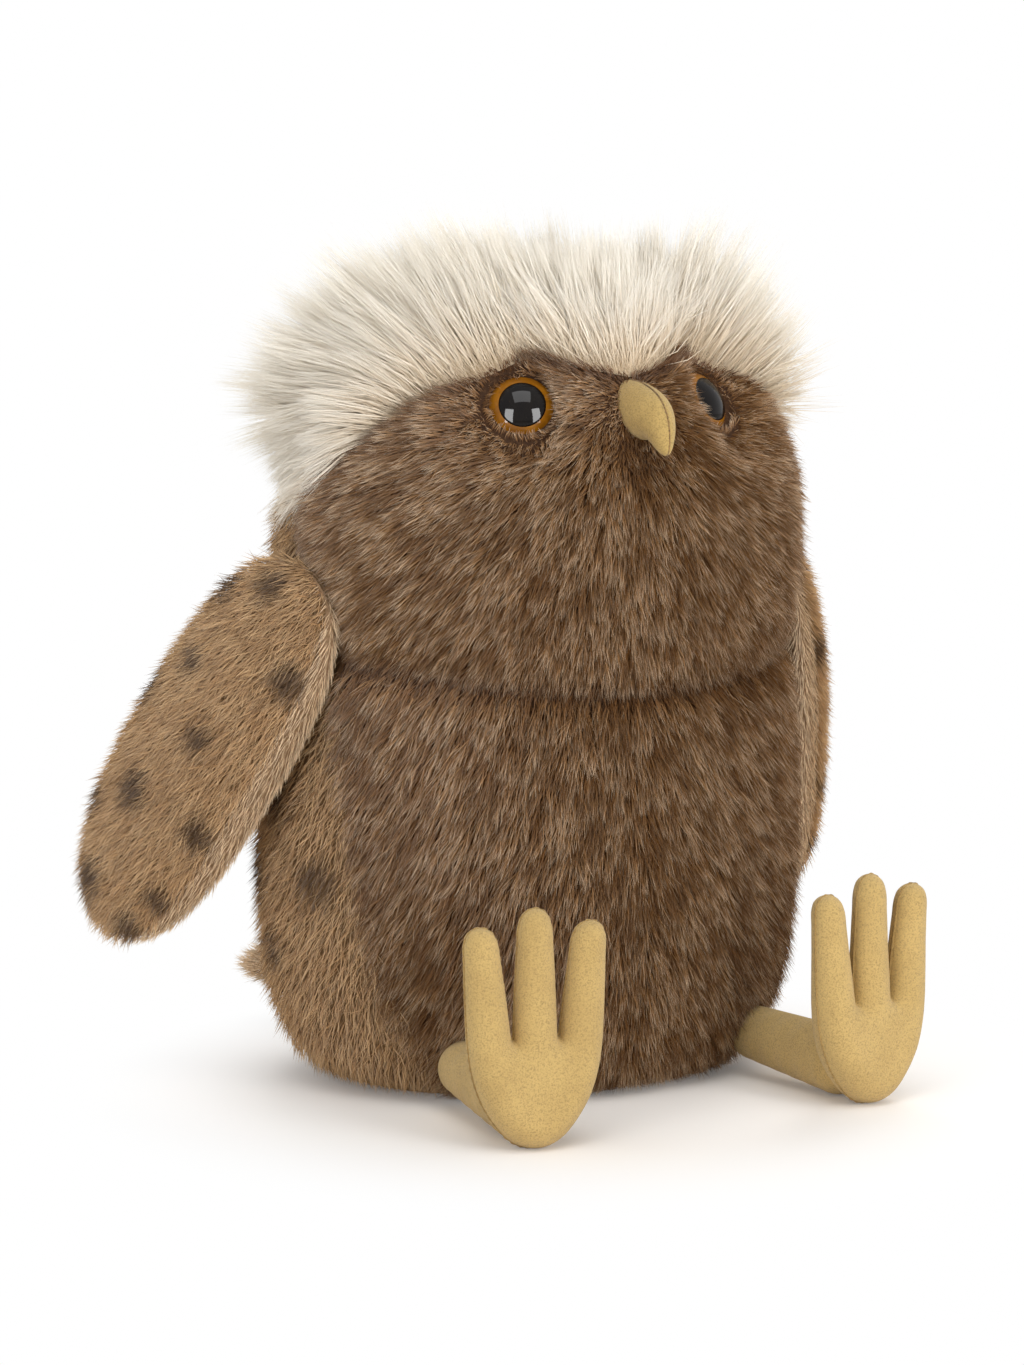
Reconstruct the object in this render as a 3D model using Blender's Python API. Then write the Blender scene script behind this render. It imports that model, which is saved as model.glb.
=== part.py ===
"""A seated stuffed owl, modelled as the pieces that it is sewn and filled from.

Lengths are in metres and angles in degrees. Z is up, the owl faces -Y, and the
floor is Z = 0, with the origin on the flat base. Side pieces are made twice,
for the owl's right side (-X) and for its left side (+X).
"""

import math

import bmesh
import bpy
import numpy as np
from mathutils import Matrix, Vector

SIDES = {"right": -1, "left": 1}

# Fabric and clearances
FUR_SKIN = 0.0045
SHORT_FUR_SKIN = 0.0025
SUEDE_SKIN = 0.0012
SEAM_GAP = 0.0004
FILLING_GAP = 0.0011
SEAT_GAP = 0.0003

# Torso: one form for body and head, drawn in at the neck seam
NECK_HEIGHT = 0.107
HEAD_HEIGHT = 0.090
BODY_HALF_WIDTH = 0.0720
BODY_HALF_DEPTH = 0.0590
NECK_HALF_WIDTH = 0.0670
NECK_HALF_DEPTH = 0.0540
HEAD_HALF_WIDTH = 0.0700
HEAD_HALF_DEPTH = 0.0560
HEAD_LEAN = 0.0115
NECK_RISE = 0.0075
NECK_RISE_REACH = 0.030
# Rows of height, width, depth and lean, up the body and then up the head
BODY_STATION_SHARES = (
    (0.00, 0.69, 0.67, 0.00),
    (0.03, 0.79, 0.79, 0.00),
    (0.11, 0.90, 0.89, 0.00),
    (0.26, 0.975, 0.965, 0.00),
    (0.47, 1.00, 1.00, 0.00),
    (0.70, 0.995, 0.99, 0.06),
    (0.89, 0.965, 0.965, 0.13),
)
NECK_LEAN_SHARE = 0.26
HEAD_STATION_SHARES = (
    (0.08, 0.985, 0.985, 0.31),
    (0.26, 1.00, 1.00, 0.40),
    (0.46, 0.975, 0.98, 0.58),
    (0.62, 0.91, 0.91, 0.75),
    (0.755, 0.81, 0.81, 0.88),
    (0.865, 0.66, 0.665, 0.96),
    (0.945, 0.47, 0.48, 1.00),
    (0.985, 0.245, 0.25, 1.00),
    (1.00, 0.00, 0.00, 1.00),
)
# Side seam, as height shares of the torso and angles from the front
SIDE_SEAM_HEIGHT_SHARES = (0.0, 0.18, 0.30, 0.46, 0.59, 0.76, 1.0)
SIDE_SEAM_ANGLES = (40.0, 57.0, 62.0, 70.0, 78.0, 95.0, 97.0)
# Lower edge of the crown, as angles from the front and height shares of the head
BROW_ANGLES = (0.0, 14.0, 32.0, 50.0, 66.0, 82.0, 97.0, 125.0, 180.0)
BROW_HEIGHT_SHARES = (0.83, 0.86, 0.90, 0.83, 0.71, 0.58, 0.48, 0.47, 0.48)
BODY_ROWS = 7
HEAD_ROWS = 6
FRONT_COLUMNS = 7
BACK_COLUMNS = 9

# Crown of long pile
CROWN_PILE = 0.0135
CROWN_ROW_SHARES = (0.0, 0.05, 0.14, 0.30, 0.52, 0.76)
CROWN_LIFT_SHARES = (0.30, 0.72, 0.92, 1.0, 1.0, 1.0)
# Swell of the pile at the sides and the back, by angle from the front and by row
CROWN_SWELL_ANGLES = (0.0, 45.0, 90.0, 180.0)
CROWN_SWELL_SHARES = (0.0, 0.10, 0.45, 0.40)
CROWN_SWELL_ROW_SHARES = (1.0, 1.0, 0.9, 0.6, 0.25, 0.0)

# Bag of pellets in the base
BAG_HALF_WIDTH = 0.036
BAG_HALF_DEPTH = 0.028
BAG_HEIGHT = 0.026
BAG_COLUMNS = 20
BAG_ROWS = 5

# Eyes: a ringed moulding, a pupil with its shank, and a washer behind the fabric
EYE_ANGLE = 32.0
EYE_HEIGHT_SHARE = 0.778
EYE_TURN = 26.0
EYE_TILT = 25.0
EYE_DIMPLE = 0.0058
EYE_DIMPLE_REACH = 0.0125
EYE_SINK = 0.0025
EYE_RADIUS = 0.0084
EYE_EDGE = 0.0012
EYE_DOME = 0.0052
PUPIL_RADIUS = 0.0058
PUPIL_SEAT = 0.0010
SHANK_RADIUS = 0.0023
SHANK_LENGTH = 0.0125
WASHER_RADIUS = 0.0068
WASHER_THICKNESS = 0.0015
WASHER_DEPTH = 0.0024
POCKET_HEIGHT = 0.0168
LATHE_SEGMENTS = 20
DOME_STEPS = 3

# Beak: two flanks over a filling, on a spine that hooks down
BEAK_HEIGHT_SHARE = 0.733
BEAK_SINK = 0.0122
BEAK_REACH = 0.0230
BEAK_DROP = 0.0106
BEAK_HALF_HEIGHT = 0.0069
BEAK_HALF_WIDTH = 0.0057
BEAK_PLACE_SHARES = (0.0, 0.40, 0.75, 1.0)
BEAK_FORWARD_SHARES = (0.0, 0.45, 0.82, 1.0)
BEAK_DROP_SHARES = (0.0, 0.04, 0.33, 1.0)
BEAK_GIRTH_SHARES = (
    (0.0, 0.0),
    (0.05, 0.80),
    (0.30, 1.0),
    (0.60, 0.90),
    (0.82, 0.60),
    (0.95, 0.30),
    (1.0, 0.0),
)

# Wings: a spotted outer panel, a plain inner panel and a filling
WING_ROOT_ANGLE = 76.0
WING_HEIGHT_SHARE = 0.356
WING_LENGTH = 0.1130
WING_HALF_WIDTH = 0.0240
WING_HALF_THICKNESS = 0.0090
WING_SEAM_TILT = 20.8
WING_OPEN = 22.5
WING_SWEEP = 52.5
WING_SETBACK = 0.0082
WING_ADVANCE = 0.0060
WING_SEAM_ROLL = 34.0
WING_SEAT_LENGTH = 0.034
WING_WIDTH_SHARES = (
    (0.0, 0.0),
    (0.05, 0.55),
    (0.15, 0.82),
    (0.32, 0.97),
    (0.52, 1.00),
    (0.70, 0.97),
    (0.85, 0.82),
    (0.95, 0.54),
    (1.0, 0.0),
)
WING_THICKNESS_SHARES = (
    (0.0, 0.0),
    (0.08, 0.55),
    (0.35, 1.0),
    (0.70, 0.90),
    (0.92, 0.50),
    (1.0, 0.0),
)

# Tail: an upper panel, an under panel and a filling
TAIL_HEIGHT = 0.0125
TAIL_LENGTH = 0.051
TAIL_HALF_WIDTH = 0.034
TAIL_HALF_THICKNESS = 0.0085
TAIL_HINGE_SHARE = 0.11
TAIL_WIDTH_SHARES = (
    (0.0, 0.0),
    (0.05, 0.36),
    (0.25, 0.56),
    (0.55, 0.84),
    (0.80, 1.0),
    (0.94, 0.82),
    (1.0, 0.0),
)
TAIL_THICKNESS_SHARES = (
    (0.0, 0.0),
    (0.08, 0.62),
    (0.40, 1.0),
    (0.80, 0.80),
    (0.95, 0.50),
    (1.0, 0.0),
)
PILLOW_STATIONS = 12
PILLOW_COLUMNS = 6

# Legs: a tapered sleeve over a filling, round at the hip and at the ankle
HIP_X = 0.0430
HIP_Y = -0.0435
HIP_Z = 0.0105
HIP_RADIUS = 0.0070
ANKLE_X = 0.0468
ANKLE_Y = -0.0755
ANKLE_Z = 0.0088
ANKLE_RADIUS = 0.0085
LEG_LOW = -60.0
LEG_HIGH = 12.0
LEG_SWEEP_STEPS = 4
LEG_SEGMENTS = 14
LEG_ROUND_STEPS = 4

# Feet: a front and a back panel over a filling, with three upright toes
FOOT_SPLAY = 7.7
FOOT_REACH = 0.0105
TOE_ROOT_HEIGHT = 0.0265
TOE_ROOT_SPREAD = 0.0118
TOE_TIP_SPREAD = 0.0142
TOE_HALF_WIDTH = 0.0054
OUTER_TOE_TOP = 0.0540
MIDDLE_TOE_TOP = 0.0578
FOOT_HALF_THICKNESS = 0.0066
FOOT_EDGE_REACH = 0.0056
TOE_THICKNESS_SHARE = 0.68
TOE_THINNING_START = 0.5
PALM_WIDTH_SHARES = (
    (0.0, 0.0),
    (0.08, 0.36),
    (0.21, 0.56),
    (0.47, 0.81),
    (0.76, 0.95),
    (1.0, 1.00),
)
TOE_WIDTH_SHARES = (
    (0.0, 1.00),
    (0.35, 0.94),
    (0.70, 0.83),
    (0.88, 0.74),
    (0.96, 0.52),
    (1.0, 0.0),
)
PALM_ROW_SHARES = (0.0, 0.07, 0.25, 0.52, 0.78, 1.0)
TOE_ROW_SHARES = (0.0, 0.30, 0.62, 0.88, 0.97, 1.0)
TOE_COLUMN_SHARES = (-1.0, -0.6, 0.0, 0.6, 1.0)

SOLVE_STEPS = 6
LEVEL_STEPS = 400
SLOPE_STEP = 0.0001
TOP_LEVEL_LIMIT = 0.998
WELD_REACH = 0.00001
SHORTEST_SIDE = 0.00000001
SHARP_ANGLE = 50.0


def smooth(known, values, wanted):
    """Read a smooth curve through values at known places, at the wanted places."""
    known = np.asarray(known, float)
    values = np.asarray(values, float)
    wanted = np.asarray(wanted, float)
    slopes = np.gradient(values, known, axis=0)
    low = np.clip(np.searchsorted(known, wanted, side="right") - 1, 0, len(known) - 2)
    span = known[low + 1] - known[low]
    t = (wanted - known[low]) / span
    if values.ndim > 1:
        t = t[..., None]
        span = span[..., None]
    start = values[low] * (1 + 2 * t) * (1 - t) ** 2
    end = values[low + 1] * t**2 * (3 - 2 * t)
    lift = span * t * (1 - t) * (slopes[low] * (1 - t) - slopes[low + 1] * t)
    return start + end + lift


def rounded(shares, places):
    """Read a girth that closes in a round end wherever its share falls to nothing."""
    table = np.array(shares)
    squares = smooth(table[:, 0], table[:, 1] ** 2, places)
    return np.sqrt(np.maximum(squares, 0))


def material(name, colour, roughness):
    """Make a plain material of one colour."""
    made = bpy.data.materials.new(name)
    made.use_nodes = True
    shader = made.node_tree.nodes["Principled BSDF"]
    shader.inputs["Base Color"].default_value = (*colour, 1.0)
    shader.inputs["Roughness"].default_value = roughness
    shader.inputs["Metallic"].default_value = 0
    return made


def make_object(name, points, faces, finish, origin=(0, 0, 0), parent=None):
    """Make a closed mesh object whose points are given in the world."""
    mesh = bpy.data.meshes.new(name)
    local = np.asarray(points, float) - np.asarray(origin, float)
    mesh.from_pydata(local.tolist(), [], faces)
    tidy = bmesh.new()
    tidy.from_mesh(mesh)
    bmesh.ops.remove_doubles(tidy, verts=tidy.verts, dist=WELD_REACH)
    bmesh.ops.recalc_face_normals(tidy, faces=tidy.faces)
    tidy.to_mesh(mesh)
    tidy.free()
    mesh.shade_smooth()
    mesh.set_sharp_from_angle(angle=math.radians(SHARP_ANGLE))
    mesh.materials.append(finish)
    made = bpy.data.objects.new(name, mesh)
    bpy.context.collection.objects.link(made)
    made.location = origin
    if parent is not None:
        made.parent = parent
        made.matrix_parent_inverse = Matrix.Translation(parent.location).inverted()
    return made


def make_hull(name, points, finish):
    """Make a guide that wraps a cloud of points."""
    mesh = bpy.data.meshes.new(name)
    wrap = bmesh.new()
    for point in points:
        wrap.verts.new(point)
    result = bmesh.ops.convex_hull(wrap, input=wrap.verts)
    spare = {item for key in ("geom_interior", "geom_unused") for item in result[key]}
    spare = [item for item in spare if isinstance(item, bmesh.types.BMVert)]
    bmesh.ops.delete(wrap, geom=spare, context="VERTS")
    bmesh.ops.recalc_face_normals(wrap, faces=wrap.faces)
    wrap.to_mesh(mesh)
    wrap.free()
    mesh.materials.append(finish)
    made = bpy.data.objects.new(name, mesh)
    bpy.context.collection.objects.link(made)
    return as_guide(made)


def make_pivot(name, place):
    """Make the empty that a moving group turns on."""
    pivot = bpy.data.objects.new(name, None)
    bpy.context.collection.objects.link(pivot)
    pivot.location = place
    return pivot


def as_guide(thing):
    """Keep an object out of the model, as a cutter or a form to join."""
    thing.hide_render = True
    thing.display_type = "WIRE"
    return thing


def combine(thing, other, operation):
    """Cut or join an object with a guide."""
    if not thing.modifiers:
        thing.modifiers.new("flat_faces", "TRIANGULATE").quad_method = "FIXED"
    change = thing.modifiers.new(f"{operation}_{other.name}", "BOOLEAN")
    change.operation = operation
    change.object = other
    change.solver = "EXACT"


def cut(things, cutters):
    """Cut each object with each cutter."""
    for thing in things:
        for cutter in cutters:
            combine(thing, cutter, "DIFFERENCE")


def quads(rows, columns, first=0, closed=False):
    """List the faces of a grid of points, row by row."""
    around = columns if closed else columns - 1
    faces = []
    for row in range(rows - 1):
        for column in range(around):
            a = first + row * columns + column
            b = first + row * columns + (column + 1) % columns
            faces.append((a, b, b + columns, a + columns))
    return faces


def slab(outer, inner):
    """Close two grids of the same size into a shell with four edges."""
    rows, columns = outer.shape[:2]
    count = rows * columns
    points = np.concatenate([outer.reshape(-1, 3), inner.reshape(-1, 3)])
    faces = quads(rows, columns) + quads(rows, columns, count)
    border = list(range(columns))
    border += [row * columns + columns - 1 for row in range(1, rows)]
    border += [(rows - 1) * columns + column for column in range(columns - 2, -1, -1)]
    border += [row * columns for row in range(rows - 2, 0, -1)]
    for here, there in zip(border, border[1:] + border[:1]):
        faces.append((here, there, there + count, here + count))
    return points, faces


def trim_edges(grid, gap, sides=True):
    """Draw the edges of a grid in by half a seam gap."""
    trimmed = grid.copy()

    def drawn(edge, inside):
        away = inside - edge
        return edge + away / np.linalg.norm(away, axis=-1, keepdims=True) * gap / 2

    trimmed[0] = drawn(grid[0], grid[1])
    trimmed[-1] = drawn(grid[-1], grid[-2])
    if sides:
        trimmed[:, 0] += drawn(grid[:, 0], grid[:, 1]) - grid[:, 0]
        trimmed[:, -1] += drawn(grid[:, -1], grid[:, -2]) - grid[:, -1]
    return trimmed


class Torso:
    """The form of body and head, read by angle from the front and by level, 0 to 1."""

    def __init__(self):
        body = [
            (h * NECK_HEIGHT, w * BODY_HALF_WIDTH, d * BODY_HALF_DEPTH, -lean * HEAD_LEAN)
            for h, w, d, lean in BODY_STATION_SHARES
        ]
        neck = [(NECK_HEIGHT, NECK_HALF_WIDTH, NECK_HALF_DEPTH, -NECK_LEAN_SHARE * HEAD_LEAN)]
        head = [
            (
                NECK_HEIGHT + h * HEAD_HEIGHT,
                w * HEAD_HALF_WIDTH,
                d * HEAD_HALF_DEPTH,
                -lean * HEAD_LEAN,
            )
            for h, w, d, lean in HEAD_STATION_SHARES
        ]
        self.stations = np.array(body + neck + head)
        self.places = np.linspace(0, 1, len(self.stations))
        self.neck_level = self.places[len(body)]
        self.height = NECK_HEIGHT + HEAD_HEIGHT
        self.eye_level = self.level_at(self.head_height(EYE_HEIGHT_SHARE))
        self.eyes = [
            self.plain(np.radians(side * EYE_ANGLE), self.eye_level) for side in SIDES.values()
        ]

    def head_height(self, share):
        """Give the height at a share of the head above the neck."""
        return NECK_HEIGHT + share * HEAD_HEIGHT

    def level_at(self, height):
        """Find the level of a height."""
        fine = np.linspace(0, 1, LEVEL_STEPS)
        heights = smooth(self.places, self.stations[:, 0], fine)
        return np.interp(height, heights, fine)

    def plain(self, angle, level):
        """Place a point on the form before the eyes draw it in."""
        angle, level = np.broadcast_arrays(angle, level)
        row = smooth(self.places, self.stations, level)
        height, width, depth, lean = np.moveaxis(row, -1, 0)
        near_neck = np.exp(-(((height - NECK_HEIGHT) / NECK_RISE_REACH) ** 2))
        height = height + NECK_RISE * np.sin(angle) ** 2 * near_neck
        return np.stack([width * np.sin(angle), lean - depth * np.cos(angle), height], -1)

    def normal(self, angle, level):
        """Find the outward direction at a point of the form."""
        level = np.clip(level, SLOPE_STEP, TOP_LEVEL_LIMIT)
        around = self.plain(angle + SLOPE_STEP, level) - self.plain(angle - SLOPE_STEP, level)
        upward = self.plain(angle, level + SLOPE_STEP) - self.plain(angle, level - SLOPE_STEP)
        direction = np.cross(around, upward)
        return direction / np.linalg.norm(direction, axis=-1, keepdims=True)

    def point(self, angle, level, inset=0):
        """Place a point at a depth under the form, with the eye sockets drawn in."""
        place = self.plain(angle, level)
        depth = np.broadcast_to(np.asarray(inset, float), place.shape[:-1]).copy()
        for eye in self.eyes:
            away = np.linalg.norm(place - eye, axis=-1) / EYE_DIMPLE_REACH
            depth += EYE_DIMPLE * np.exp(-(away**2))
        return place - depth[..., None] * self.normal(angle, level)

    def side_seam(self, level):
        """Find the angle of the side seam at a level."""
        height = smooth(self.places, self.stations[:, 0], level) / self.height
        return np.radians(smooth(SIDE_SEAM_HEIGHT_SHARES, SIDE_SEAM_ANGLES, height))

    def brow(self, angle):
        """Find the level of the crown's lower edge at an angle."""
        share = smooth(BROW_ANGLES, BROW_HEIGHT_SHARES, np.degrees(np.abs(angle)))
        return self.level_at(self.head_height(share))

    def base(self, angle):
        """Give the level of the base seam."""
        return np.zeros_like(angle)

    def neck(self, angle):
        """Give the level of the neck seam."""
        return np.full_like(angle, self.neck_level)

    def front(self, level):
        """Give the angle of the seam down the middle of the front."""
        return np.zeros_like(level)

    def back(self, level):
        """Give the angle of the seam down the middle of the back."""
        return np.full_like(level, math.pi)

    def panel(self, lines, rows, columns, seams):
        """Spread a grid of angles and levels between level lines and two side seams."""
        across = np.linspace(0, 1, columns + 1)[None, :]
        spans = [np.linspace(k, k + 1, n + 1)[min(k, 1):] for k, n in enumerate(rows)]
        up = np.concatenate(spans)[:, None]
        span = np.minimum(np.floor(up), len(rows) - 1).astype(int)
        part = up - span
        level = np.full((len(up), columns + 1), self.neck_level)
        for _ in range(SOLVE_STEPS):
            angle = seams[0](level) * (1 - across) + seams[1](level) * across
            edges = np.stack([line(angle) for line in lines])
            low = np.take_along_axis(edges, np.broadcast_to(span, level.shape)[None], 0)[0]
            high = np.take_along_axis(edges, np.broadcast_to(span + 1, level.shape)[None], 0)[0]
            level = low * (1 - part) + high * part
        return angle, level

    def panels(self):
        """Give the grids of the belly, face and back panels of the left side."""
        fronts = (self.front, self.side_seam)
        backs = (self.side_seam, self.back)
        return {
            "belly": self.panel((self.base, self.neck), (BODY_ROWS,), FRONT_COLUMNS, fronts),
            "face": self.panel((self.neck, self.brow), (HEAD_ROWS,), FRONT_COLUMNS, fronts),
            "back": self.panel(
                (self.base, self.neck, self.brow), (BODY_ROWS, HEAD_ROWS), BACK_COLUMNS, backs
            ),
        }

    def ring(self, top, panels):
        """Read the angles and levels right round the top or the base of the panels."""
        row = -1 if top else 0
        front = panels["face"] if top else panels["belly"]
        half = [
            np.concatenate([front[k][row], panels["back"][k][row, 1:]]) for k in range(2)
        ]
        angle = np.concatenate([half[0], -half[0][-2:0:-1]])
        level = np.concatenate([half[1], half[1][-2:0:-1]])
        return angle, level

    def crown(self, panels, outer_lift, inner_inset):
        """Give the outer and inner grids and poles of the crown."""
        angle, edge = self.ring(True, panels)
        level = edge + (1 - edge) * np.array(CROWN_ROW_SHARES)[:, None]
        angle = np.broadcast_to(angle, level.shape)
        swell = smooth(CROWN_SWELL_ANGLES, CROWN_SWELL_SHARES, np.degrees(np.abs(angle)))
        swell = 1 + swell * np.array(CROWN_SWELL_ROW_SHARES)[:, None]
        lift = outer_lift * np.array(CROWN_LIFT_SHARES)[:, None] * swell
        top = self.stations[-1]
        pole = np.array([0, top[3], top[0]])
        up = np.array([0, 0, 1])
        outer = self.point(angle, level, -lift)
        inner = self.point(angle, level, inner_inset)
        return outer, pole + up * outer_lift, inner, pole - up * inner_inset

    def closed(self, inset, panels, from_neck=False, to_neck=False):
        """Close the form at one depth into a solid: all of it, the head or the body."""
        patches = []
        rows = slice(BODY_ROWS, None) if from_neck else slice(None)
        rows = slice(0, BODY_ROWS + 1) if to_neck else rows
        names = {"belly": not from_neck, "face": not to_neck}
        for name, used in names.items():
            if used:
                patches.append(panels[name])
        patches.append(tuple(part[rows] for part in panels["back"]))
        points, faces = [], []
        for angle, level in patches:
            for side in SIDES.values():
                grid = self.point(angle, level, inset) * np.array([side, 1, 1])
                faces += quads(*grid.shape[:2], first=sum(len(p) for p in points))
                points.append(grid.reshape(-1, 3))
        if not to_neck:
            self.close_top(points, faces, panels, inset)
        if not from_neck:
            self.close_ring(points, faces, panels["belly"], panels["back"], 0, inset)
        if to_neck:
            self.close_ring(points, faces, panels["belly"], panels["back"], BODY_ROWS, inset)
        if from_neck:
            self.close_ring(points, faces, panels["face"], panels["back"], (0, BODY_ROWS), inset)
        return np.concatenate(points), faces

    def close_top(self, points, faces, panels, inset):
        """Add the dome above the crown's lower edge."""
        _, _, inner, pole = self.crown(panels, 0, inset)
        first = sum(len(p) for p in points)
        rows, columns = inner.shape[:2]
        faces += quads(rows, columns, first, closed=True)
        last = first + (rows - 1) * columns
        tip = first + rows * columns
        faces += [(last + c, last + (c + 1) % columns, tip) for c in range(columns)]
        points += [inner.reshape(-1, 3), pole[None]]

    def close_ring(self, points, faces, front, back, row, inset):
        """Add a fan that closes the form across one row of its panels."""
        front_row, back_row = row if isinstance(row, tuple) else (row, row)
        half = [
            np.concatenate([front[k][front_row], back[k][back_row, 1:]]) for k in range(2)
        ]
        angle = np.concatenate([half[0], -half[0][-2:0:-1]])
        level = np.concatenate([half[1], half[1][-2:0:-1]])
        ring = self.point(angle, level, inset)
        first = sum(len(p) for p in points)
        count = len(ring)
        faces += [(first + c, first + (c + 1) % count, first + count) for c in range(count)]
        points += [ring, ring.mean(0)[None]]


def frame_axes(along, across, out):
    """Stack three directions as the rows that turn local places into the world."""
    return np.array([along, across, out], float)


class Pillow:
    """A flat stuffed form: a girth and a thickness that follow shares along its length."""

    def __init__(self, length, half_width, half_thickness, widths, thicknesses, place, axes):
        self.length = length
        self.half_width = half_width
        self.half_thickness = half_thickness
        self.widths = widths
        self.thicknesses = thicknesses
        self.place = np.asarray(place, float)
        self.axes = axes

    def spine(self, along):
        """Place the middle of the form, with its directions across and out."""
        middle = self.place + along[..., None] * self.axes[0]
        across = np.broadcast_to(self.axes[1], middle.shape)
        out = np.broadcast_to(self.axes[2], middle.shape)
        return middle, across, out

    def rings(self, inset, turn, stations):
        """Give the rings of the form at a depth, and the points at its two ends."""
        part = (1 - np.cos(np.linspace(0, math.pi, stations + 1)[1:-1])) / 2
        along = inset + (self.length - 2 * inset) * part
        middle, across, out = self.spine(along)
        width = (self.half_width - inset) * rounded(self.widths, part)
        thickness = (self.half_thickness - inset) * rounded(self.thicknesses, part)
        wide = width[:, None, None] * np.cos(turn)[None, :, None] * across[:, None]
        thick = thickness[:, None, None] * np.sin(turn)[None, :, None] * out[:, None]
        ends = self.spine(np.array([inset, self.length - inset]))[0]
        return middle[:, None] + wide + thick, ends

    def solid(self, inset=0, stations=PILLOW_STATIONS, columns=PILLOW_COLUMNS):
        """Close the whole form at a depth."""
        turn = np.linspace(0, 2 * math.pi, 2 * columns + 1)[:-1]
        grid, ends = self.rings(inset, turn, stations)
        rows, around = grid.shape[:2]
        last = (rows - 1) * around
        tip = rows * around
        faces = quads(rows, around, closed=True)
        faces += [((c + 1) % around, c, tip) for c in range(around)]
        faces += [(last + c, last + (c + 1) % around, tip + 1) for c in range(around)]
        return np.concatenate([grid.reshape(-1, 3), ends]), faces

    def half(self, skin, upper, roll=0, stations=PILLOW_STATIONS, columns=PILLOW_COLUMNS):
        """Make the panel on one face of the form, open along its seam."""
        turn = np.linspace(roll, math.pi if upper else -math.pi, columns + 1)
        grids, tips = zip(*(self.rings(depth, turn, stations) for depth in (0, skin)))
        rows, across = grids[0].shape[:2]
        count = rows * across
        last = (rows - 1) * across
        base = 2 * count
        faces = []
        for layer in range(2):
            first = layer * count
            start, end = base + 2 * layer, base + 2 * layer + 1
            faces += quads(rows, across, first)
            faces += [(first + c, first + c + 1, start) for c in range(across - 1)]
            faces += [(first + last + c, first + last + c + 1, end) for c in range(across - 1)]
        for column in (0, across - 1):
            for row in range(rows - 1):
                a = row * across + column
                faces.append((a, a + across, a + across + count, a + count))
            faces.append((base, column, column + count, base + 2))
            faces.append((base + 1, last + column, last + column + count, base + 3))
        points = np.concatenate([grids[0].reshape(-1, 3), grids[1].reshape(-1, 3), *tips])
        shift = self.axes[2] * SEAM_GAP / 2 * (1 if upper else -1)
        return points + shift, faces


class Beak(Pillow):
    """A pillow whose middle follows a spine that reaches forward and hooks down."""

    def spine(self, along):
        """Place the middle of the beak, with its directions up the flank and out."""
        share = along / self.length
        forward = smooth(BEAK_PLACE_SHARES, BEAK_FORWARD_SHARES, share) * BEAK_REACH
        drop = smooth(BEAK_PLACE_SHARES, BEAK_DROP_SHARES, share) * BEAK_DROP
        zero = np.zeros_like(forward)
        middle = self.place + np.stack([zero, -forward, -drop], -1)
        later = np.minimum(share + SLOPE_STEP, 1)
        before = later - 2 * SLOPE_STEP
        run = smooth(BEAK_PLACE_SHARES, BEAK_FORWARD_SHARES, later)
        run = (run - smooth(BEAK_PLACE_SHARES, BEAK_FORWARD_SHARES, before)) * BEAK_REACH
        fall = smooth(BEAK_PLACE_SHARES, BEAK_DROP_SHARES, later)
        fall = (fall - smooth(BEAK_PLACE_SHARES, BEAK_DROP_SHARES, before)) * BEAK_DROP
        upward = np.stack([zero, -fall, run], -1)
        upward /= np.linalg.norm(upward, axis=-1, keepdims=True)
        return middle, upward, np.broadcast_to(self.axes[2], middle.shape)


def lathe(profile, segments, place, direction):
    """Turn a profile of radius and height about a direction, closed at both ends."""
    axis = Vector(direction).normalized()
    turn = Vector((0, 0, 1)).rotation_difference(axis).to_matrix()
    points, faces, rings = [], [], []
    for radius, height in profile:
        if radius == 0:
            rings.append([len(points)])
            points.append((0, 0, height))
            continue
        rings.append(list(range(len(points), len(points) + segments)))
        for k in range(segments):
            angle = 2 * math.pi * k / segments
            points.append((radius * math.cos(angle), radius * math.sin(angle), height))
    closed = profile[0][0] != 0
    pairs = list(zip(rings, rings[1:]))
    if closed:
        pairs.append((rings[-1], rings[0]))
    for low, high in pairs:
        for k in range(segments):
            corners = [low[k % len(low)], low[(k + 1) % len(low)]]
            corners += [high[(k + 1) % len(high)], high[k % len(high)]]
            faces.append(tuple(dict.fromkeys(corners)))
    placed = [Vector(place) + turn @ Vector(point) for point in points]
    return np.array(placed), faces


def arc(radius, start, end, centre, steps):
    """List points of radius and height on a round end, from angle to angle."""
    angles = [math.radians(start + (end - start) * k / steps) for k in range(steps + 1)]
    places = [(radius * math.cos(a), centre + radius * math.sin(a)) for a in angles]
    return [(max(r, 0) if r > radius * SLOPE_STEP else 0, h) for r, h in places]


def make_torso(torso, finishes):
    """Make the panels of body and head, the crown, the base and their fillings."""
    panels = torso.panels()
    made = {}
    for name, (angle, level) in panels.items():
        skin = FUR_SKIN if name != "back" else SHORT_FUR_SKIN
        outer = trim_edges(torso.point(angle, level), SEAM_GAP)
        inner = trim_edges(torso.point(angle, level, skin), SEAM_GAP)
        for side_name, side in SIDES.items():
            flip = np.array([side, 1, 1])
            node = f"{name}_panel_{side_name}"
            made[node] = make_object(node, *slab(outer * flip, inner * flip), finishes[name])
    made["crown_panel"] = make_crown(torso, panels, finishes["crown"])
    made["base_panel"] = make_base(torso, panels, finishes["back"])
    depth = FUR_SKIN + FILLING_GAP
    body = torso.closed(depth, panels, to_neck=True)
    head = torso.closed(depth, panels, from_neck=True)
    up = np.array([0, 0, SEAM_GAP / 2])
    made["body_filling"] = make_object("body_filling", body[0] - up, body[1], finishes["filling"])
    made["head_filling"] = make_object("head_filling", head[0] + up, head[1], finishes["filling"])
    return made, panels


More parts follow.
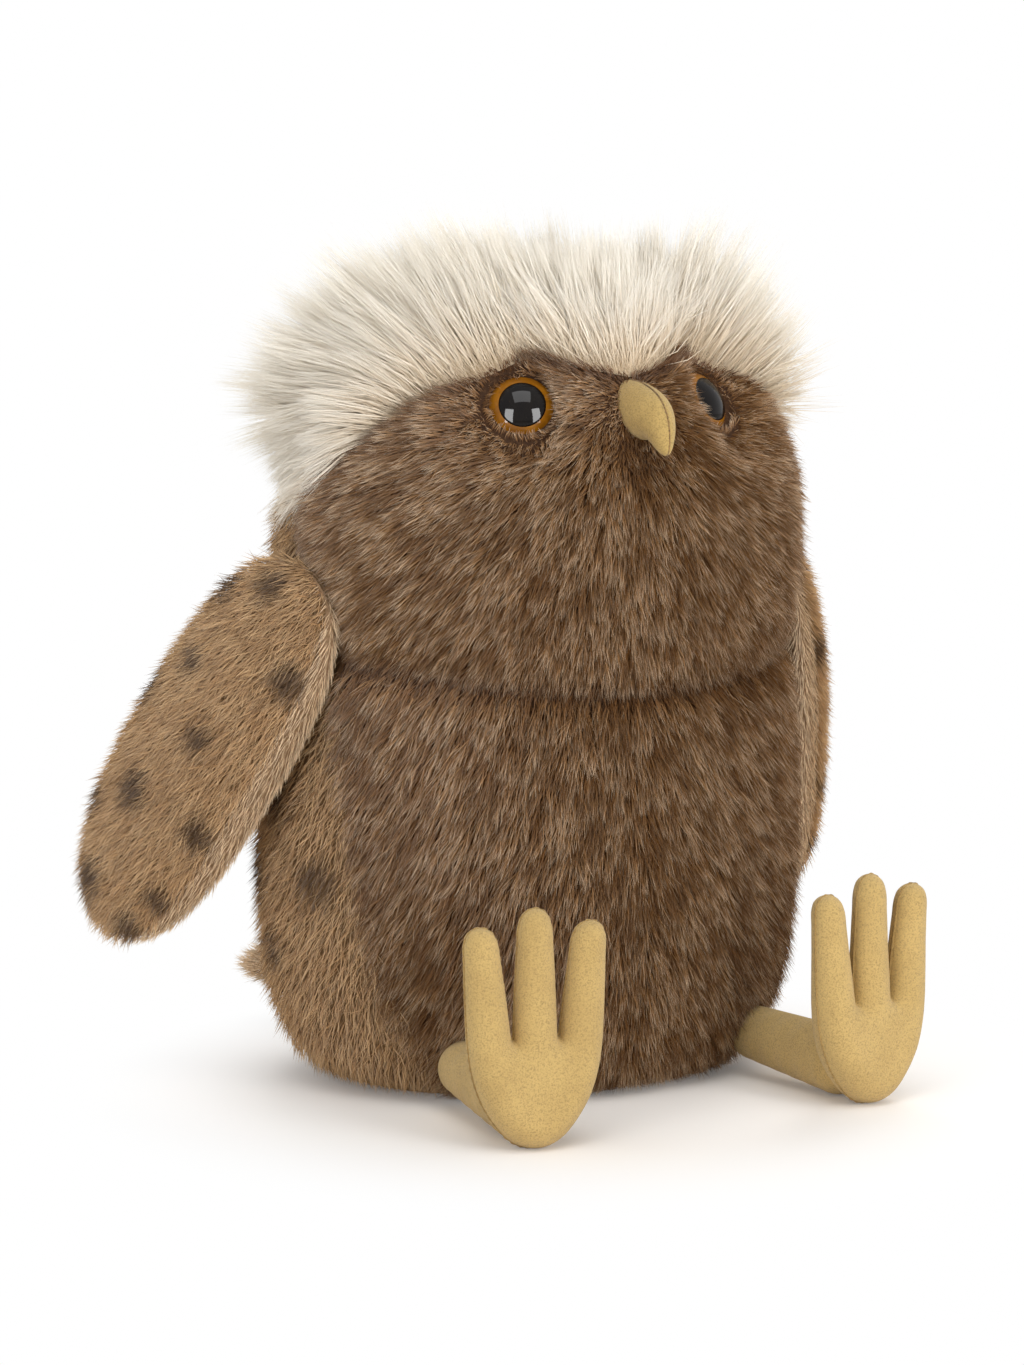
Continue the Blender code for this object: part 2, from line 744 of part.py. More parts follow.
def make_crown(torso, panels, finish):
    """Make the crown panel with its long pile standing over the brow."""
    outer, outer_pole, inner, inner_pole = torso.crown(panels, CROWN_PILE, FUR_SKIN)
    for layer in (outer, inner):
        away = layer[1] - layer[0]
        layer[0] += away / np.linalg.norm(away, axis=-1, keepdims=True) * SEAM_GAP / 2
    rows, columns = outer.shape[:2]
    count = rows * columns
    faces = []
    for first, tip in ((0, 2 * count), (count, 2 * count + 1)):
        last = first + (rows - 1) * columns
        faces += quads(rows, columns, first, closed=True)
        faces += [(last + c, last + (c + 1) % columns, tip) for c in range(columns)]
    for c in range(columns):
        after = (c + 1) % columns
        faces.append((c, after, after + count, c + count))
    points = np.concatenate([outer.reshape(-1, 3), inner.reshape(-1, 3)])
    points = np.concatenate([points, outer_pole[None], inner_pole[None]])
    return make_object("crown_panel", points, faces, finish)


def make_base(torso, panels, finish):
    """Make the flat base panel inside the base seam."""
    angle, level = torso.ring(False, panels)
    rings = []
    for inset in (0, SHORT_FUR_SKIN):
        ring = torso.point(angle, level, inset)
        ring[:, 2] = inset
        middle = ring.mean(0)
        away = middle - ring
        ring += away / np.linalg.norm(away, axis=-1, keepdims=True) * SEAM_GAP
        rings.append(ring)
    count = len(angle)
    points = np.concatenate(rings + [ring.mean(0)[None] for ring in rings])
    faces = []
    for c in range(count):
        after = (c + 1) % count
        faces.append((c, after, after + count, c + count))
        faces.append((after, c, 2 * count))
        faces.append((c + count, after + count, 2 * count + 1))
    return make_object("base_panel", points, faces, finish)


def dome(half_width, half_depth, height, floor):
    """Make an upright half ellipsoid that stands on a flat bottom."""
    turn = np.linspace(0, 2 * math.pi, BAG_COLUMNS + 1)[:-1]
    rise = np.linspace(0, math.pi / 2, BAG_ROWS + 1)[:-1, None]
    grid = np.stack(
        [
            half_width * np.cos(rise) * np.cos(turn),
            half_depth * np.cos(rise) * np.sin(turn),
            floor + height * np.sin(rise) * np.ones_like(turn),
        ],
        -1,
    )
    rows, columns = grid.shape[:2]
    last = (rows - 1) * columns
    tip = rows * columns
    faces = quads(rows, columns, closed=True)
    faces += [(last + c, last + (c + 1) % columns, tip) for c in range(columns)]
    faces += [((c + 1) % columns, c, tip + 1) for c in range(columns)]
    ends = np.array([[0, 0, floor + height], [0, 0, floor]])
    return np.concatenate([grid.reshape(-1, 3), ends]), faces


def make_bag(made, finish, guide):
    """Make the pellet bag on the base panel and its pocket in the filling."""
    floor = SHORT_FUR_SKIN + SEAT_GAP
    bag = dome(BAG_HALF_WIDTH, BAG_HALF_DEPTH, BAG_HEIGHT, floor)
    made["pellet_bag"] = make_object("pellet_bag", *bag, finish)
    room = (BAG_HALF_WIDTH + SEAM_GAP, BAG_HALF_DEPTH + SEAM_GAP, BAG_HEIGHT + 2 * SEAM_GAP)
    pocket = make_object("bag_pocket", *dome(*room, floor - SEAM_GAP), guide)
    cut([made["body_filling"]], [as_guide(pocket)])


def eye_profiles():
    """Give the profiles of the eye ring, the pupil, the washer and their pocket."""
    bore = SHANK_RADIUS + SEAT_GAP
    sphere = (EYE_RADIUS**2 + (EYE_DOME - EYE_EDGE) ** 2) / (2 * (EYE_DOME - EYE_EDGE))
    centre = EYE_DOME - sphere

    def on_dome(radius):
        return radius, centre + math.sqrt(sphere**2 - radius**2)

    recess = PUPIL_RADIUS + SEAT_GAP
    rim = [on_dome(EYE_RADIUS + (recess - EYE_RADIUS) * k / DOME_STEPS) for k in range(DOME_STEPS + 1)]
    ring = [(bore, 0), (EYE_RADIUS, 0)] + rim + [(recess, PUPIL_SEAT), (bore, PUPIL_SEAT)]
    cap = [on_dome(PUPIL_RADIUS * (1 - k / DOME_STEPS)) for k in range(DOME_STEPS + 1)]
    seat = PUPIL_SEAT + SEAT_GAP
    pupil = [(0, -SHANK_LENGTH), (SHANK_RADIUS, -SHANK_LENGTH), (SHANK_RADIUS, seat)]
    pupil += [(PUPIL_RADIUS, seat)] + cap
    front = -WASHER_DEPTH
    rear = front - WASHER_THICKNESS
    washer = [(bore, rear), (WASHER_RADIUS, rear), (WASHER_RADIUS, front), (bore, front)]
    wide = WASHER_RADIUS + SEAT_GAP
    pocket = [
        (0, -SHANK_LENGTH - SEAT_GAP),
        (bore, -SHANK_LENGTH - SEAT_GAP),
        (bore, rear - SEAT_GAP),
        (wide, rear - SEAT_GAP),
        (wide, front + SEAT_GAP),
        (bore, front + SEAT_GAP),
        (bore, -SEAT_GAP),
        (EYE_RADIUS + SEAT_GAP, -SEAT_GAP),
        (EYE_RADIUS + SEAT_GAP, POCKET_HEIGHT),
        (0, POCKET_HEIGHT),
    ]
    return {"eye_ring": ring, "eye_pupil": pupil, "eye_washer": washer, "eye_pocket": pocket}


def make_eyes(torso, made, finishes):
    """Make both eyes, seated in their sockets, and cut their pockets."""
    profiles = eye_profiles()
    tilt = math.radians(EYE_TILT)
    for side_name, side in SIDES.items():
        turn = math.radians(side * EYE_TURN)
        direction = np.array(
            [math.sin(turn) * math.cos(tilt), -math.cos(turn) * math.cos(tilt), math.sin(tilt)]
        )
        surface = torso.point(np.radians(side * EYE_ANGLE), torso.eye_level)
        place = surface - direction * EYE_SINK
        for name, profile in profiles.items():
            node = f"{name}_{side_name}"
            turned = lathe(profile, LATHE_SEGMENTS, place, direction)
            made[node] = make_object(node, *turned, finishes[name], origin=place)
        pocket = as_guide(made.pop(f"eye_pocket_{side_name}"))
        cut([made[f"face_panel_{side_name}"], made["head_filling"]], [pocket])


def make_beak(torso, made, clearance, finishes):
    """Make the two flanks of the beak over their filling, seated on the face."""
    height = torso.head_height(BEAK_HEIGHT_SHARE)
    place = torso.plain(0, torso.level_at(height)) + np.array([0, BEAK_SINK, 0])
    for side_name, side in SIDES.items():
        axes = frame_axes((0, -1, 0), (0, 0, 1), (side, 0, 0))
        beak = Beak(
            math.hypot(BEAK_REACH, BEAK_DROP),
            BEAK_HALF_HEIGHT,
            BEAK_HALF_WIDTH,
            BEAK_GIRTH_SHARES,
            BEAK_GIRTH_SHARES,
            place,
            axes,
        )
        node = f"beak_flank_{side_name}"
        made[node] = make_object(node, *beak.half(SUEDE_SKIN, True), finishes["suede"])
    inside = beak.solid(SUEDE_SKIN + SEAM_GAP)
    made["beak_filling"] = make_object("beak_filling", *inside, finishes["filling"])
    cut([made["beak_flank_right"], made["beak_flank_left"], made["beak_filling"]], [clearance])


def wing_pillow(torso, side):
    """Give the form of a wing and its pivot on the side of the torso."""
    tilt = math.radians(WING_SEAM_TILT)
    sweep = math.radians(WING_SWEEP)
    opened = math.radians(WING_OPEN)
    outward = np.array([side, 0, 0])
    seam = np.array([0, math.sin(tilt), math.cos(tilt)])
    behind = np.array([0, math.cos(tilt), -math.sin(tilt)])
    off = math.cos(opened) * behind + math.sin(opened) * outward
    face = math.cos(opened) * outward - math.sin(opened) * behind
    along = math.sin(sweep) * off - math.cos(sweep) * seam
    across = -math.cos(sweep) * off - math.sin(sweep) * seam
    root = torso.head_height(WING_HEIGHT_SHARE)
    level = torso.level_at(root - WING_SEAT_LENGTH / 2)
    edge = torso.point(math.radians(WING_ROOT_ANGLE), level)
    pivot = np.array([side * edge[0], edge[1], root])
    pillow = Pillow(
        WING_LENGTH,
        WING_HALF_WIDTH,
        WING_HALF_THICKNESS,
        WING_WIDTH_SHARES,
        WING_THICKNESS_SHARES,
        pivot + off * WING_SETBACK + across * WING_ADVANCE,
        frame_axes(along, across, face),
    )
    return pillow, pivot


def make_wings(torso, made, clearance, finishes):
    """Make both wings, seated on the sides of the torso."""
    for side_name, side in SIDES.items():
        pillow, pivot = wing_pillow(torso, side)
        hinge = make_pivot(f"wing_{side_name}_hinge", pivot)
        panels = {"outer": True, "inner": False}
        for layer, upper in panels.items():
            node = f"wing_{layer}_{side_name}"
            shell = pillow.half(SHORT_FUR_SKIN, upper, math.radians(WING_SEAM_ROLL))
            made[node] = make_object(node, *shell, finishes[f"wing_{layer}"], pivot, hinge)
        node = f"wing_filling_{side_name}"
        inside = pillow.solid(SHORT_FUR_SKIN + FILLING_GAP)
        made[node] = make_object(node, *inside, finishes["filling"], pivot, hinge)
        cut([made[f"wing_{layer}_{side_name}"] for layer in ("inner", "filling")], [clearance])


def make_tail(torso, made, finishes):
    """Make the tail, which turns up and down at its root."""
    back = torso.point(math.pi, torso.level_at(TAIL_HEIGHT))
    root = np.array([0, back[1] + SEAT_GAP, TAIL_HEIGHT])
    pivot = root + np.array([0, TAIL_LENGTH * TAIL_HINGE_SHARE, 0])
    hinge = make_pivot("tail_hinge", pivot)
    pillow = Pillow(
        TAIL_LENGTH,
        TAIL_HALF_WIDTH,
        TAIL_HALF_THICKNESS,
        TAIL_WIDTH_SHARES,
        TAIL_THICKNESS_SHARES,
        root,
        frame_axes((0, 1, 0), (1, 0, 0), (0, 0, 1)),
    )
    panels = {"tail_upper": True, "tail_under": False}
    for node, upper in panels.items():
        shell = pillow.half(SHORT_FUR_SKIN, upper)
        made[node] = make_object(node, *shell, finishes["back"], pivot, hinge)
    inside = pillow.solid(SHORT_FUR_SKIN + SEAM_GAP)
    made["tail_filling"] = make_object("tail_filling", *inside, finishes["filling"], pivot, hinge)


def leg_profile(inset, length, hip_end):
    """Give half of a leg's outline at a depth, closed at the ankle end."""
    hip = HIP_RADIUS - inset
    ankle = ANKLE_RADIUS - inset
    end = arc(ankle, 0, 90, length, LEG_ROUND_STEPS)
    if hip_end:
        return arc(hip, -90, 0, 0, LEG_ROUND_STEPS) + end
    return [(hip, 0)] + end


def make_legs(made, finishes, guide):
    """Make both legs, their hinges, and the hollows that they turn in."""
    hinges = {}
    for side_name, side in SIDES.items():
        hip = np.array([side * HIP_X, HIP_Y, HIP_Z])
        ankle = np.array([side * ANKLE_X, ANKLE_Y, ANKLE_Z])
        length = np.linalg.norm(ankle - hip)
        direction = (ankle - hip) / length
        hinge = make_pivot(f"leg_{side_name}_hinge", hip)
        outer = leg_profile(0, length, False)
        inner = leg_profile(SUEDE_SKIN, length, False)
        sleeve = lathe(outer[::-1] + inner, LEG_SEGMENTS, hip, direction)
        node = f"leg_sleeve_{side_name}"
        made[node] = make_object(node, *sleeve, finishes["suede"], hip, hinge)
        inside = leg_profile(SUEDE_SKIN + SEAM_GAP, length, True)
        node = f"leg_filling_{side_name}"
        turned = lathe(inside, LEG_SEGMENTS, hip, direction)
        made[node] = make_object(node, *turned, finishes["filling"], hip, hinge)
        room = leg_profile(-SEAT_GAP, length, True)
        swept = []
        for k in range(LEG_SWEEP_STEPS + 1):
            bend = LEG_LOW + (LEG_HIGH - LEG_LOW) * k / LEG_SWEEP_STEPS
            swung = Matrix.Rotation(math.radians(-bend), 3, "X") @ Vector(direction)
            swept.append(lathe(room, LEG_SEGMENTS, hip, swung)[0])
        hollow = make_hull(f"leg_room_{side_name}", np.concatenate(swept), guide)
        cut([made[f"belly_panel_{side_name}"], made["body_filling"]], [hollow])
        hinges[side_name] = (hinge, direction)
    return hinges


def foot_axes(side):
    """Give the directions of a foot: up its length, across it, and to its front."""
    splay = math.radians(side * FOOT_SPLAY)
    front = np.array([math.sin(splay), -math.cos(splay), 0])
    across = np.array([math.cos(splay), math.sin(splay), 0])
    return frame_axes((0, 0, 1), across, front)


def foot_place(side):
    """Place the lowest point of a foot, on the floor in front of its ankle."""
    ankle = np.array([side * ANKLE_X, ANKLE_Y, 0])
    return ankle + foot_axes(side)[2] * FOOT_REACH


def foot_grids(inset):
    """Give the flat grids of a foot at a depth: the palm, then each toe, in its plane."""
    rows = np.array(TOE_ROW_SHARES)[:, None]
    columns = np.array(TOE_COLUMN_SHARES)[None, :]
    girth = rounded(TOE_WIDTH_SHARES, rows[:, 0])[:, None] * (TOE_HALF_WIDTH - inset)
    toes = []
    for toe, top in ((-1, OUTER_TOE_TOP), (0, MIDDLE_TOE_TOP), (1, OUTER_TOE_TOP)):
        middle = toe * (TOE_ROOT_SPREAD + (TOE_TIP_SPREAD - TOE_ROOT_SPREAD) * rows)
        height = TOE_ROOT_HEIGHT - inset + (top - TOE_ROOT_HEIGHT) * rows
        across = middle + girth * columns
        toes.append(np.stack([across, np.broadcast_to(height, across.shape)], -1))
    root = np.concatenate([toe[0] for toe in toes])
    climb = np.array(PALM_ROW_SHARES)[:, None]
    width = rounded(PALM_WIDTH_SHARES, climb[:, 0])[:, None] * root[:, 0]
    height = inset + (TOE_ROOT_HEIGHT - 2 * inset) * climb
    palm = np.stack([width, np.broadcast_to(height, width.shape)], -1)
    return [palm] + toes


def foot_outline(grids):
    """List the points round the edge of a foot, from its lowest point."""
    palm, *toes = grids
    outline = [palm[:, -1]]
    for toe in toes[::-1]:
        outline += [toe[:, -1], toe[::-1, 0]]
    outline.append(palm[::-1, 0])
    return np.concatenate(outline)


def edge_distance(points, outline):
    """Measure how far each point lies from the nearest side of the outline."""
    start, end = outline[:-1], outline[1:]
    side = end - start
    length = np.maximum((side**2).sum(-1), SHORTEST_SIDE**2)
    away = points[..., None, :] - start
    share = np.clip((away * side).sum(-1) / length, 0, 1)
    return np.linalg.norm(away - share[..., None] * side, axis=-1).min(-1)


def foot_layers(inset):
    """Give the grids of a foot at a depth, with the thickness at each point."""
    grids = foot_grids(inset)
    outline = foot_outline(grids)
    layers = []
    for grid in grids:
        climb = np.clip(grid[..., 1] / TOE_ROOT_HEIGHT, 0, 2)
        share = 1 - (1 - TOE_THICKNESS_SHARE) * np.clip(climb - TOE_THINNING_START, 0, 1)
        depth = np.clip(edge_distance(grid, outline) / (FOOT_EDGE_REACH - inset), 0, 1)
        thickness = (FOOT_HALF_THICKNESS - inset) * share * np.sqrt(1 - (1 - depth) ** 2)
        layers.append(np.concatenate([grid, thickness[..., None]], -1))
    return layers


def placed(layers, side, way, shift=0):
    """Place the grids of one face of a foot in the world."""
    up, across, front = foot_axes(side)
    place = foot_place(side)
    turned = []
    for layer in layers:
        out = way * (layer[..., 2:] + shift)
        turned.append(place + layer[..., :1] * across + layer[..., 1:2] * up + out * front)
    return turned


def foot_faces(layers, first):
    """List the faces of one layer of a foot."""
    faces = []
    for grid in layers:
        faces += quads(*grid.shape[:2], first)
        first += grid.shape[0] * grid.shape[1]
    return faces


def foot_rim(layers, count):
    """List the faces that join the edges of the two layers of a panel."""
    edges = []
    first = 0
    across = len(TOE_COLUMN_SHARES)
    for grid in layers:
        rows, columns = grid.shape[:2]
        for column in (0, columns - 1):
            places = [first + row * columns + column for row in range(rows)]
            edges += list(zip(places, places[1:]))
        if grid is layers[0]:
            top = first + (rows - 1) * columns
            edges += [(top + k * across - 1, top + k * across) for k in (1, 2)]
        first += rows * columns
    return [(a, b, b + count, a + count) for a, b in edges]


def foot_shell(side, way):
    """Make the front or back panel of a foot."""
    outer = placed(foot_layers(0), side, way, SEAM_GAP / 2)
    inner = placed(foot_layers(SUEDE_SKIN), side, way, SEAM_GAP / 2)
    points = np.concatenate([grid.reshape(-1, 3) for grid in outer + inner])
    count = len(points) // 2
    faces = foot_faces(outer, 0) + foot_faces(inner, count) + foot_rim(outer, count)
    return points, faces


def foot_inside(side):
    """Make the filling of a foot."""
    layers = foot_layers(SUEDE_SKIN + SEAM_GAP)
    front, back = placed(layers, side, 1), placed(layers, side, -1)
    points = np.concatenate([grid.reshape(-1, 3) for grid in front + back])
    return points, foot_faces(front, 0) + foot_faces(back, len(points) // 2)


def make_feet(made, legs, finishes, guide):
    """Make both feet, each a front and a back panel over a filling."""
    for side_name, side in SIDES.items():
        pivot = np.array([side * ANKLE_X, ANKLE_Y, ANKLE_Z])
        hinge = make_pivot(f"foot_{side_name}_hinge", pivot)
        leg_hinge, direction = legs[side_name]
        hinge.parent = leg_hinge
        hinge.matrix_parent_inverse = Matrix.Translation(leg_hinge.location).inverted()
        parts = {
            f"foot_front_{side_name}": (foot_shell(side, 1), "suede"),
            f"foot_back_{side_name}": (foot_shell(side, -1), "suede"),
            f"foot_filling_{side_name}": (foot_inside(side), "filling"),
        }
        for node, (shape, finish) in parts.items():
            made[node] = make_object(node, *shape, finishes[finish], pivot, hinge)
            made[node].matrix_parent_inverse = Matrix.Translation(pivot).inverted()
        ball = arc(ANKLE_RADIUS + SEAT_GAP, -90, 90, 0, 2 * LEG_ROUND_STEPS)
        socket = lathe(ball, LEG_SEGMENTS, pivot, direction)
        socket = as_guide(make_object(f"ankle_room_{side_name}", *socket, guide))
        cut([made[f"foot_filling_{side_name}"], made[f"foot_back_{side_name}"]], [socket])


def make_finishes():
    """Make the materials."""
    finishes = {
        "belly": material("mottled_brown_fur", (0.150, 0.088, 0.045), 0.9),
        "crown": material("white_long_fur", (0.74, 0.68, 0.57), 0.9),
        "back": material("spotted_tan_fur", (0.29, 0.18, 0.095), 0.9),
        "wing_inner": material("beige_short_fur", (0.41, 0.28, 0.18), 0.9),
        "suede": material("yellow_suede", (0.62, 0.42, 0.16), 0.95),
        "filling": material("polyester_filling", (0.86, 0.86, 0.84), 0.95),
        "bag": material("pellet_bag_cloth", (0.75, 0.73, 0.68), 0.9),
        "eye_ring": material("amber_plastic", (0.275, 0.10, 0.008), 0.15),
        "eye_pupil": material("black_plastic", (0.008, 0.007, 0.006), 0.08),
        "eye_washer": material("white_plastic", (0.78, 0.78, 0.76), 0.5),
        "guide": material("guide", (0.5, 0.5, 0.5), 0.5),
    }
    finishes["face"] = finishes["belly"]
    finishes["wing_outer"] = finishes["back"]
    finishes["eye_pocket"] = finishes["guide"]
    return finishes


def main():
    """Build the owl."""
    for thing in list(bpy.data.objects):
        bpy.data.objects.remove(thing, do_unlink=True)
    finishes = make_finishes()
    guide = finishes["guide"]
    torso = Torso()
    made, panels = make_torso(torso, finishes)
    make_bag(made, finishes["bag"], guide)
    make_eyes(torso, made, finishes)
    around = torso.closed(-SEAT_GAP, panels)
    clearance = as_guide(make_object("torso_room", *around, guide))
    make_beak(torso, made, clearance, finishes)
    make_wings(torso, made, clearance, finishes)
    make_tail(torso, made, finishes)
    legs = make_legs(made, finishes, guide)
    make_feet(made, legs, finishes, guide)


main()
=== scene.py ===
"""Looks of a long-haired plush owl: cloth skins, growing fur, suede feet and beak, glossy eyes."""
import logging
import math
from dataclasses import dataclass, field
from enum import Enum

import bmesh
import bpy
import numpy as np
from mathutils import Matrix, Vector


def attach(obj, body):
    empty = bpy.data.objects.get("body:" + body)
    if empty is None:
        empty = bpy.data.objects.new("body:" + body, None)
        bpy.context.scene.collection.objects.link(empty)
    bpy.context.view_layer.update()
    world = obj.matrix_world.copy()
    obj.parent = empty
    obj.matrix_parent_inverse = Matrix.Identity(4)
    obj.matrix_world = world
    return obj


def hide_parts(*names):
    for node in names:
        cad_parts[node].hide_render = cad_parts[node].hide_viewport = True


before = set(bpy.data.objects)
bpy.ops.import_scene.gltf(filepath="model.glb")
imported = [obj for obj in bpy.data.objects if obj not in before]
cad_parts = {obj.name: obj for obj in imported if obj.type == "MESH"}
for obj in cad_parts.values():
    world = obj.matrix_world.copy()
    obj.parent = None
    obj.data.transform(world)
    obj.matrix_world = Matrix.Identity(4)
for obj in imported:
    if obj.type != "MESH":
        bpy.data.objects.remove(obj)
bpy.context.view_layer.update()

LOG = logging.getLogger("owl")
GOLDEN = 0.6180339887
FLOOR_GAP = 0.0003  # strands stay this far above the floor
ROOT_DEPTH = 0.0002  # strands start this far under the cloth's face
SUEDE_GAP = 0.0001  # suede faces stand this far off the filling's seam
SUEDE_SKIN = 0.0011
SLOPE = 0.0001  # step in angle and level from which a normal is worked out
STRAND_LEVELS = 3  # root, ring and tip


class Side(Enum):
    """The two sides of the owl, with the sign of their x."""

    RIGHT = -1
    LEFT = 1

    @property
    def word(self) -> str:
        """Give the side's word as node names hold it."""
        return self.name.lower()


def unit(vectors: np.ndarray) -> np.ndarray:
    """Scale each vector to length one.

    Args:
        vectors: Array whose last axis is x, y, z.

    Returns:
        The same directions, each divided by its own length.
    """
    length = np.linalg.norm(vectors, axis=-1, keepdims=True)
    return vectors / np.maximum(length, 1e-12)


def smooth(known: np.ndarray, values: np.ndarray, wanted: np.ndarray) -> np.ndarray:
    """Read a smooth curve: cubic pieces whose slopes are the mean slopes at the known places.

    Args:
        known: Rising places.
        values: One value or row of values for each place.
        wanted: Places to read.

    Returns:
        The values at the wanted places.
    """
    known, values, wanted = (np.asarray(part, float) for part in (known, values, wanted))
    slopes = np.gradient(values, known, axis=0)
    low = np.clip(np.searchsorted(known, wanted, side="right") - 1, 0, len(known) - 2)
    span = known[low + 1] - known[low]
    t = (wanted - known[low]) / span
    if values.ndim > 1:
        t, span = t[..., None], span[..., None]
    start = values[low] * (1 + 2 * t) * (1 - t) ** 2
    end = values[low + 1] * t**2 * (3 - 2 * t)
    return start + end + span * t * (1 - t) * (slopes[low] * (1 - t) - slopes[low + 1] * t)


def rounded(shares: tuple, places: np.ndarray) -> np.ndarray:
    """Read a girth that closes in a round end: the root of a smooth curve through the squares.

    Args:
        shares: Rows of place and girth share.
        places: Places to read, 0 to 1.

    Returns:
        The girth shares there.
    """
    table = np.array(shares)
    return np.sqrt(np.maximum(smooth(table[:, 0], table[:, 1] ** 2, places), 0))


def step(low: float, high: float, values: np.ndarray) -> np.ndarray:
    """Ramp from 0 at low to 1 at high with level ends: t squared times three less two t.

    Args:
        low: Where the ramp starts.
        high: Where it ends; below low for a falling ramp.
        values: Values to read.

    Returns:
        The ramp's height at each value.
    """
    t = np.clip((values - low) / (high - low), 0, 1)
    return t * t * (3 - 2 * t)


def nearest(points: np.ndarray, centres: np.ndarray) -> np.ndarray:
    """Find the nearest centre of each point from all their squared distances, a block at a time.

    Args:
        points: Points to look from.
        centres: Points to choose from.

    Returns:
        The index of the nearest centre for each point.
    """
    found = []
    for block in np.array_split(points, max(1, len(points) // 4000)):
        away = (block**2).sum(1)[:, None] - 2 * block @ centres.T + (centres**2).sum(1)
        found.append(away.argmin(1))
    return np.concatenate(found)


def new_object(name: str, mesh: bpy.types.Mesh, finish: bpy.types.Material) -> bpy.types.Object:
    """Wrap a mesh as an object with its finish.

    Args:
        name: Name of the piece.
        mesh: Its mesh, placed in the frame.
        finish: Its material.

    Returns:
        The object, linked to the scene at the origin.
    """
    mesh.materials.clear()
    mesh.materials.append(finish)
    made = bpy.data.objects.new(name, mesh)
    bpy.context.collection.objects.link(made)
    return made


def declare(piece: bpy.types.Object, part: str, node: str = "") -> None:
    """Tell the frame what a piece is.

    Args:
        piece: Piece of the scene.
        part: Body that the piece rides on.
        node: CAD node that it replaces, if any.
    """
    if node:
        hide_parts(node)
    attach(piece, part)
    LOG.info("made %s", piece.name)


def quads(place: np.ndarray, wrap: bool = False) -> np.ndarray:
    """List the cells of a grid of point numbers, four corners each, rows closed where wrapped."""
    if wrap:
        place = np.concatenate([place, place[:, :1]], 1)
    corners = [place[:-1, :-1], place[:-1, 1:], place[1:, 1:], place[1:, :-1]]
    return np.stack(corners, -1).reshape(-1, 4)


def ring_about(axis: np.ndarray, turn: np.ndarray) -> np.ndarray:
    """Give a circle of directions square to an axis: cos turn side + sin turn up."""
    side = unit(np.cross(axis, np.array([0, 0, 1.0])))
    up = np.cross(side, axis)
    return np.cos(turn)[:, None] * side + np.sin(turn)[:, None] * up


def tidy_mesh(mesh: bpy.types.Mesh, weld: float = 1e-6) -> None:
    """Merge doubled points, drop faces without area and turn all faces outward.

    Args:
        mesh: Mesh to tidy in place.
        weld: Distance under which points are one.
    """
    work = bmesh.new()
    work.from_mesh(mesh)
    bmesh.ops.remove_doubles(work, verts=work.verts, dist=weld)
    bmesh.ops.dissolve_degenerate(work, edges=work.edges, dist=weld)
    bmesh.ops.recalc_face_normals(work, faces=work.faces)
    work.to_mesh(mesh)
    work.free()
    mesh.shade_smooth()


def shell(name: str, outer: np.ndarray, inner: np.ndarray, finish: bpy.types.Material,
          wrap: bool = False) -> bpy.types.Object:
    """Close two grids of points into one skin: both grids are faced, and their borders joined.

    Args:
        name: Name of the piece.
        outer: Grid of points of the outer face.
        inner: Grid of the same size for the inner face.
        finish: Material of the skin.
        wrap: True where each row closes on itself.

    Returns:
        The skin as an object.
    """
    rows, columns = outer.shape[:2]
    count = rows * columns
    place = np.arange(count).reshape(rows, columns)
    if wrap:
        place = np.concatenate([place, place[:, :1]], 1)
    face = quads(place)
    borders = [(place[0, :-1], place[0, 1:]), (place[-1, 1:], place[-1, :-1])]
    if not wrap:
        borders += [(place[1:, 0], place[:-1, 0]), (place[:-1, -1], place[1:, -1])]
    rim = [np.stack([q, p, p + count, q + count], -1) for p, q in borders]
    faces = np.concatenate([face, face[:, ::-1] + count] + rim)
    points = np.concatenate([outer.reshape(-1, 3), inner.reshape(-1, 3)])
    mesh = bpy.data.meshes.new(name)
    mesh.from_pydata(points.tolist(), [], faces.tolist())
    tidy_mesh(mesh)
    return new_object(name, mesh, finish)


def tube(name: str, path: np.ndarray, radius: np.ndarray, finish: bpy.types.Material,
         around: int = 8, flat: float = 1.0, up: tuple = (0, 0, 1)) -> bpy.types.Object:
    """Carry a ring along a path: point = path + radius (cos turn side + flat sin turn rise).

    Args:
        name: Name of the piece.
        path: Points of the middle line.
        radius: Radius at each point.
        finish: Material.
        around: Points in a ring.
        flat: Share by which the ring is flattened along its rise.
        up: Direction that the rise keeps nearest to.

    Returns:
        The tube, closed at both ends by its last rings drawn to a point.
    """
    along = unit(np.gradient(path, axis=0))
    side = unit(np.cross(along, np.array(up, float)))
    rise = np.cross(side, along)
    turn = np.linspace(0, 2 * math.pi, around + 1)[:-1]
    ring = np.cos(turn)[None, :, None] * side[:, None]
    ring = ring + flat * np.sin(turn)[None, :, None] * rise[:, None]
    grid = path[:, None] + radius[:, None, None] * ring
    rows = len(path)
    place = np.arange(rows * around).reshape(rows, around)
    place = np.concatenate([place, place[:, :1]], 1)
    first, last = rows * around, rows * around + 1
    faces = quads(place).tolist()
    faces += np.stack([place[0, 1:], place[0, :-1], np.full(around, first)], -1).tolist()
    faces += np.stack([place[-1, :-1], place[-1, 1:], np.full(around, last)], -1).tolist()
    points = np.concatenate([grid.reshape(-1, 3), path[:1], path[-1:]])
    mesh = bpy.data.meshes.new(name)
    mesh.from_pydata(points.tolist(), [], faces)
    tidy_mesh(mesh)
    return new_object(name, mesh, finish)


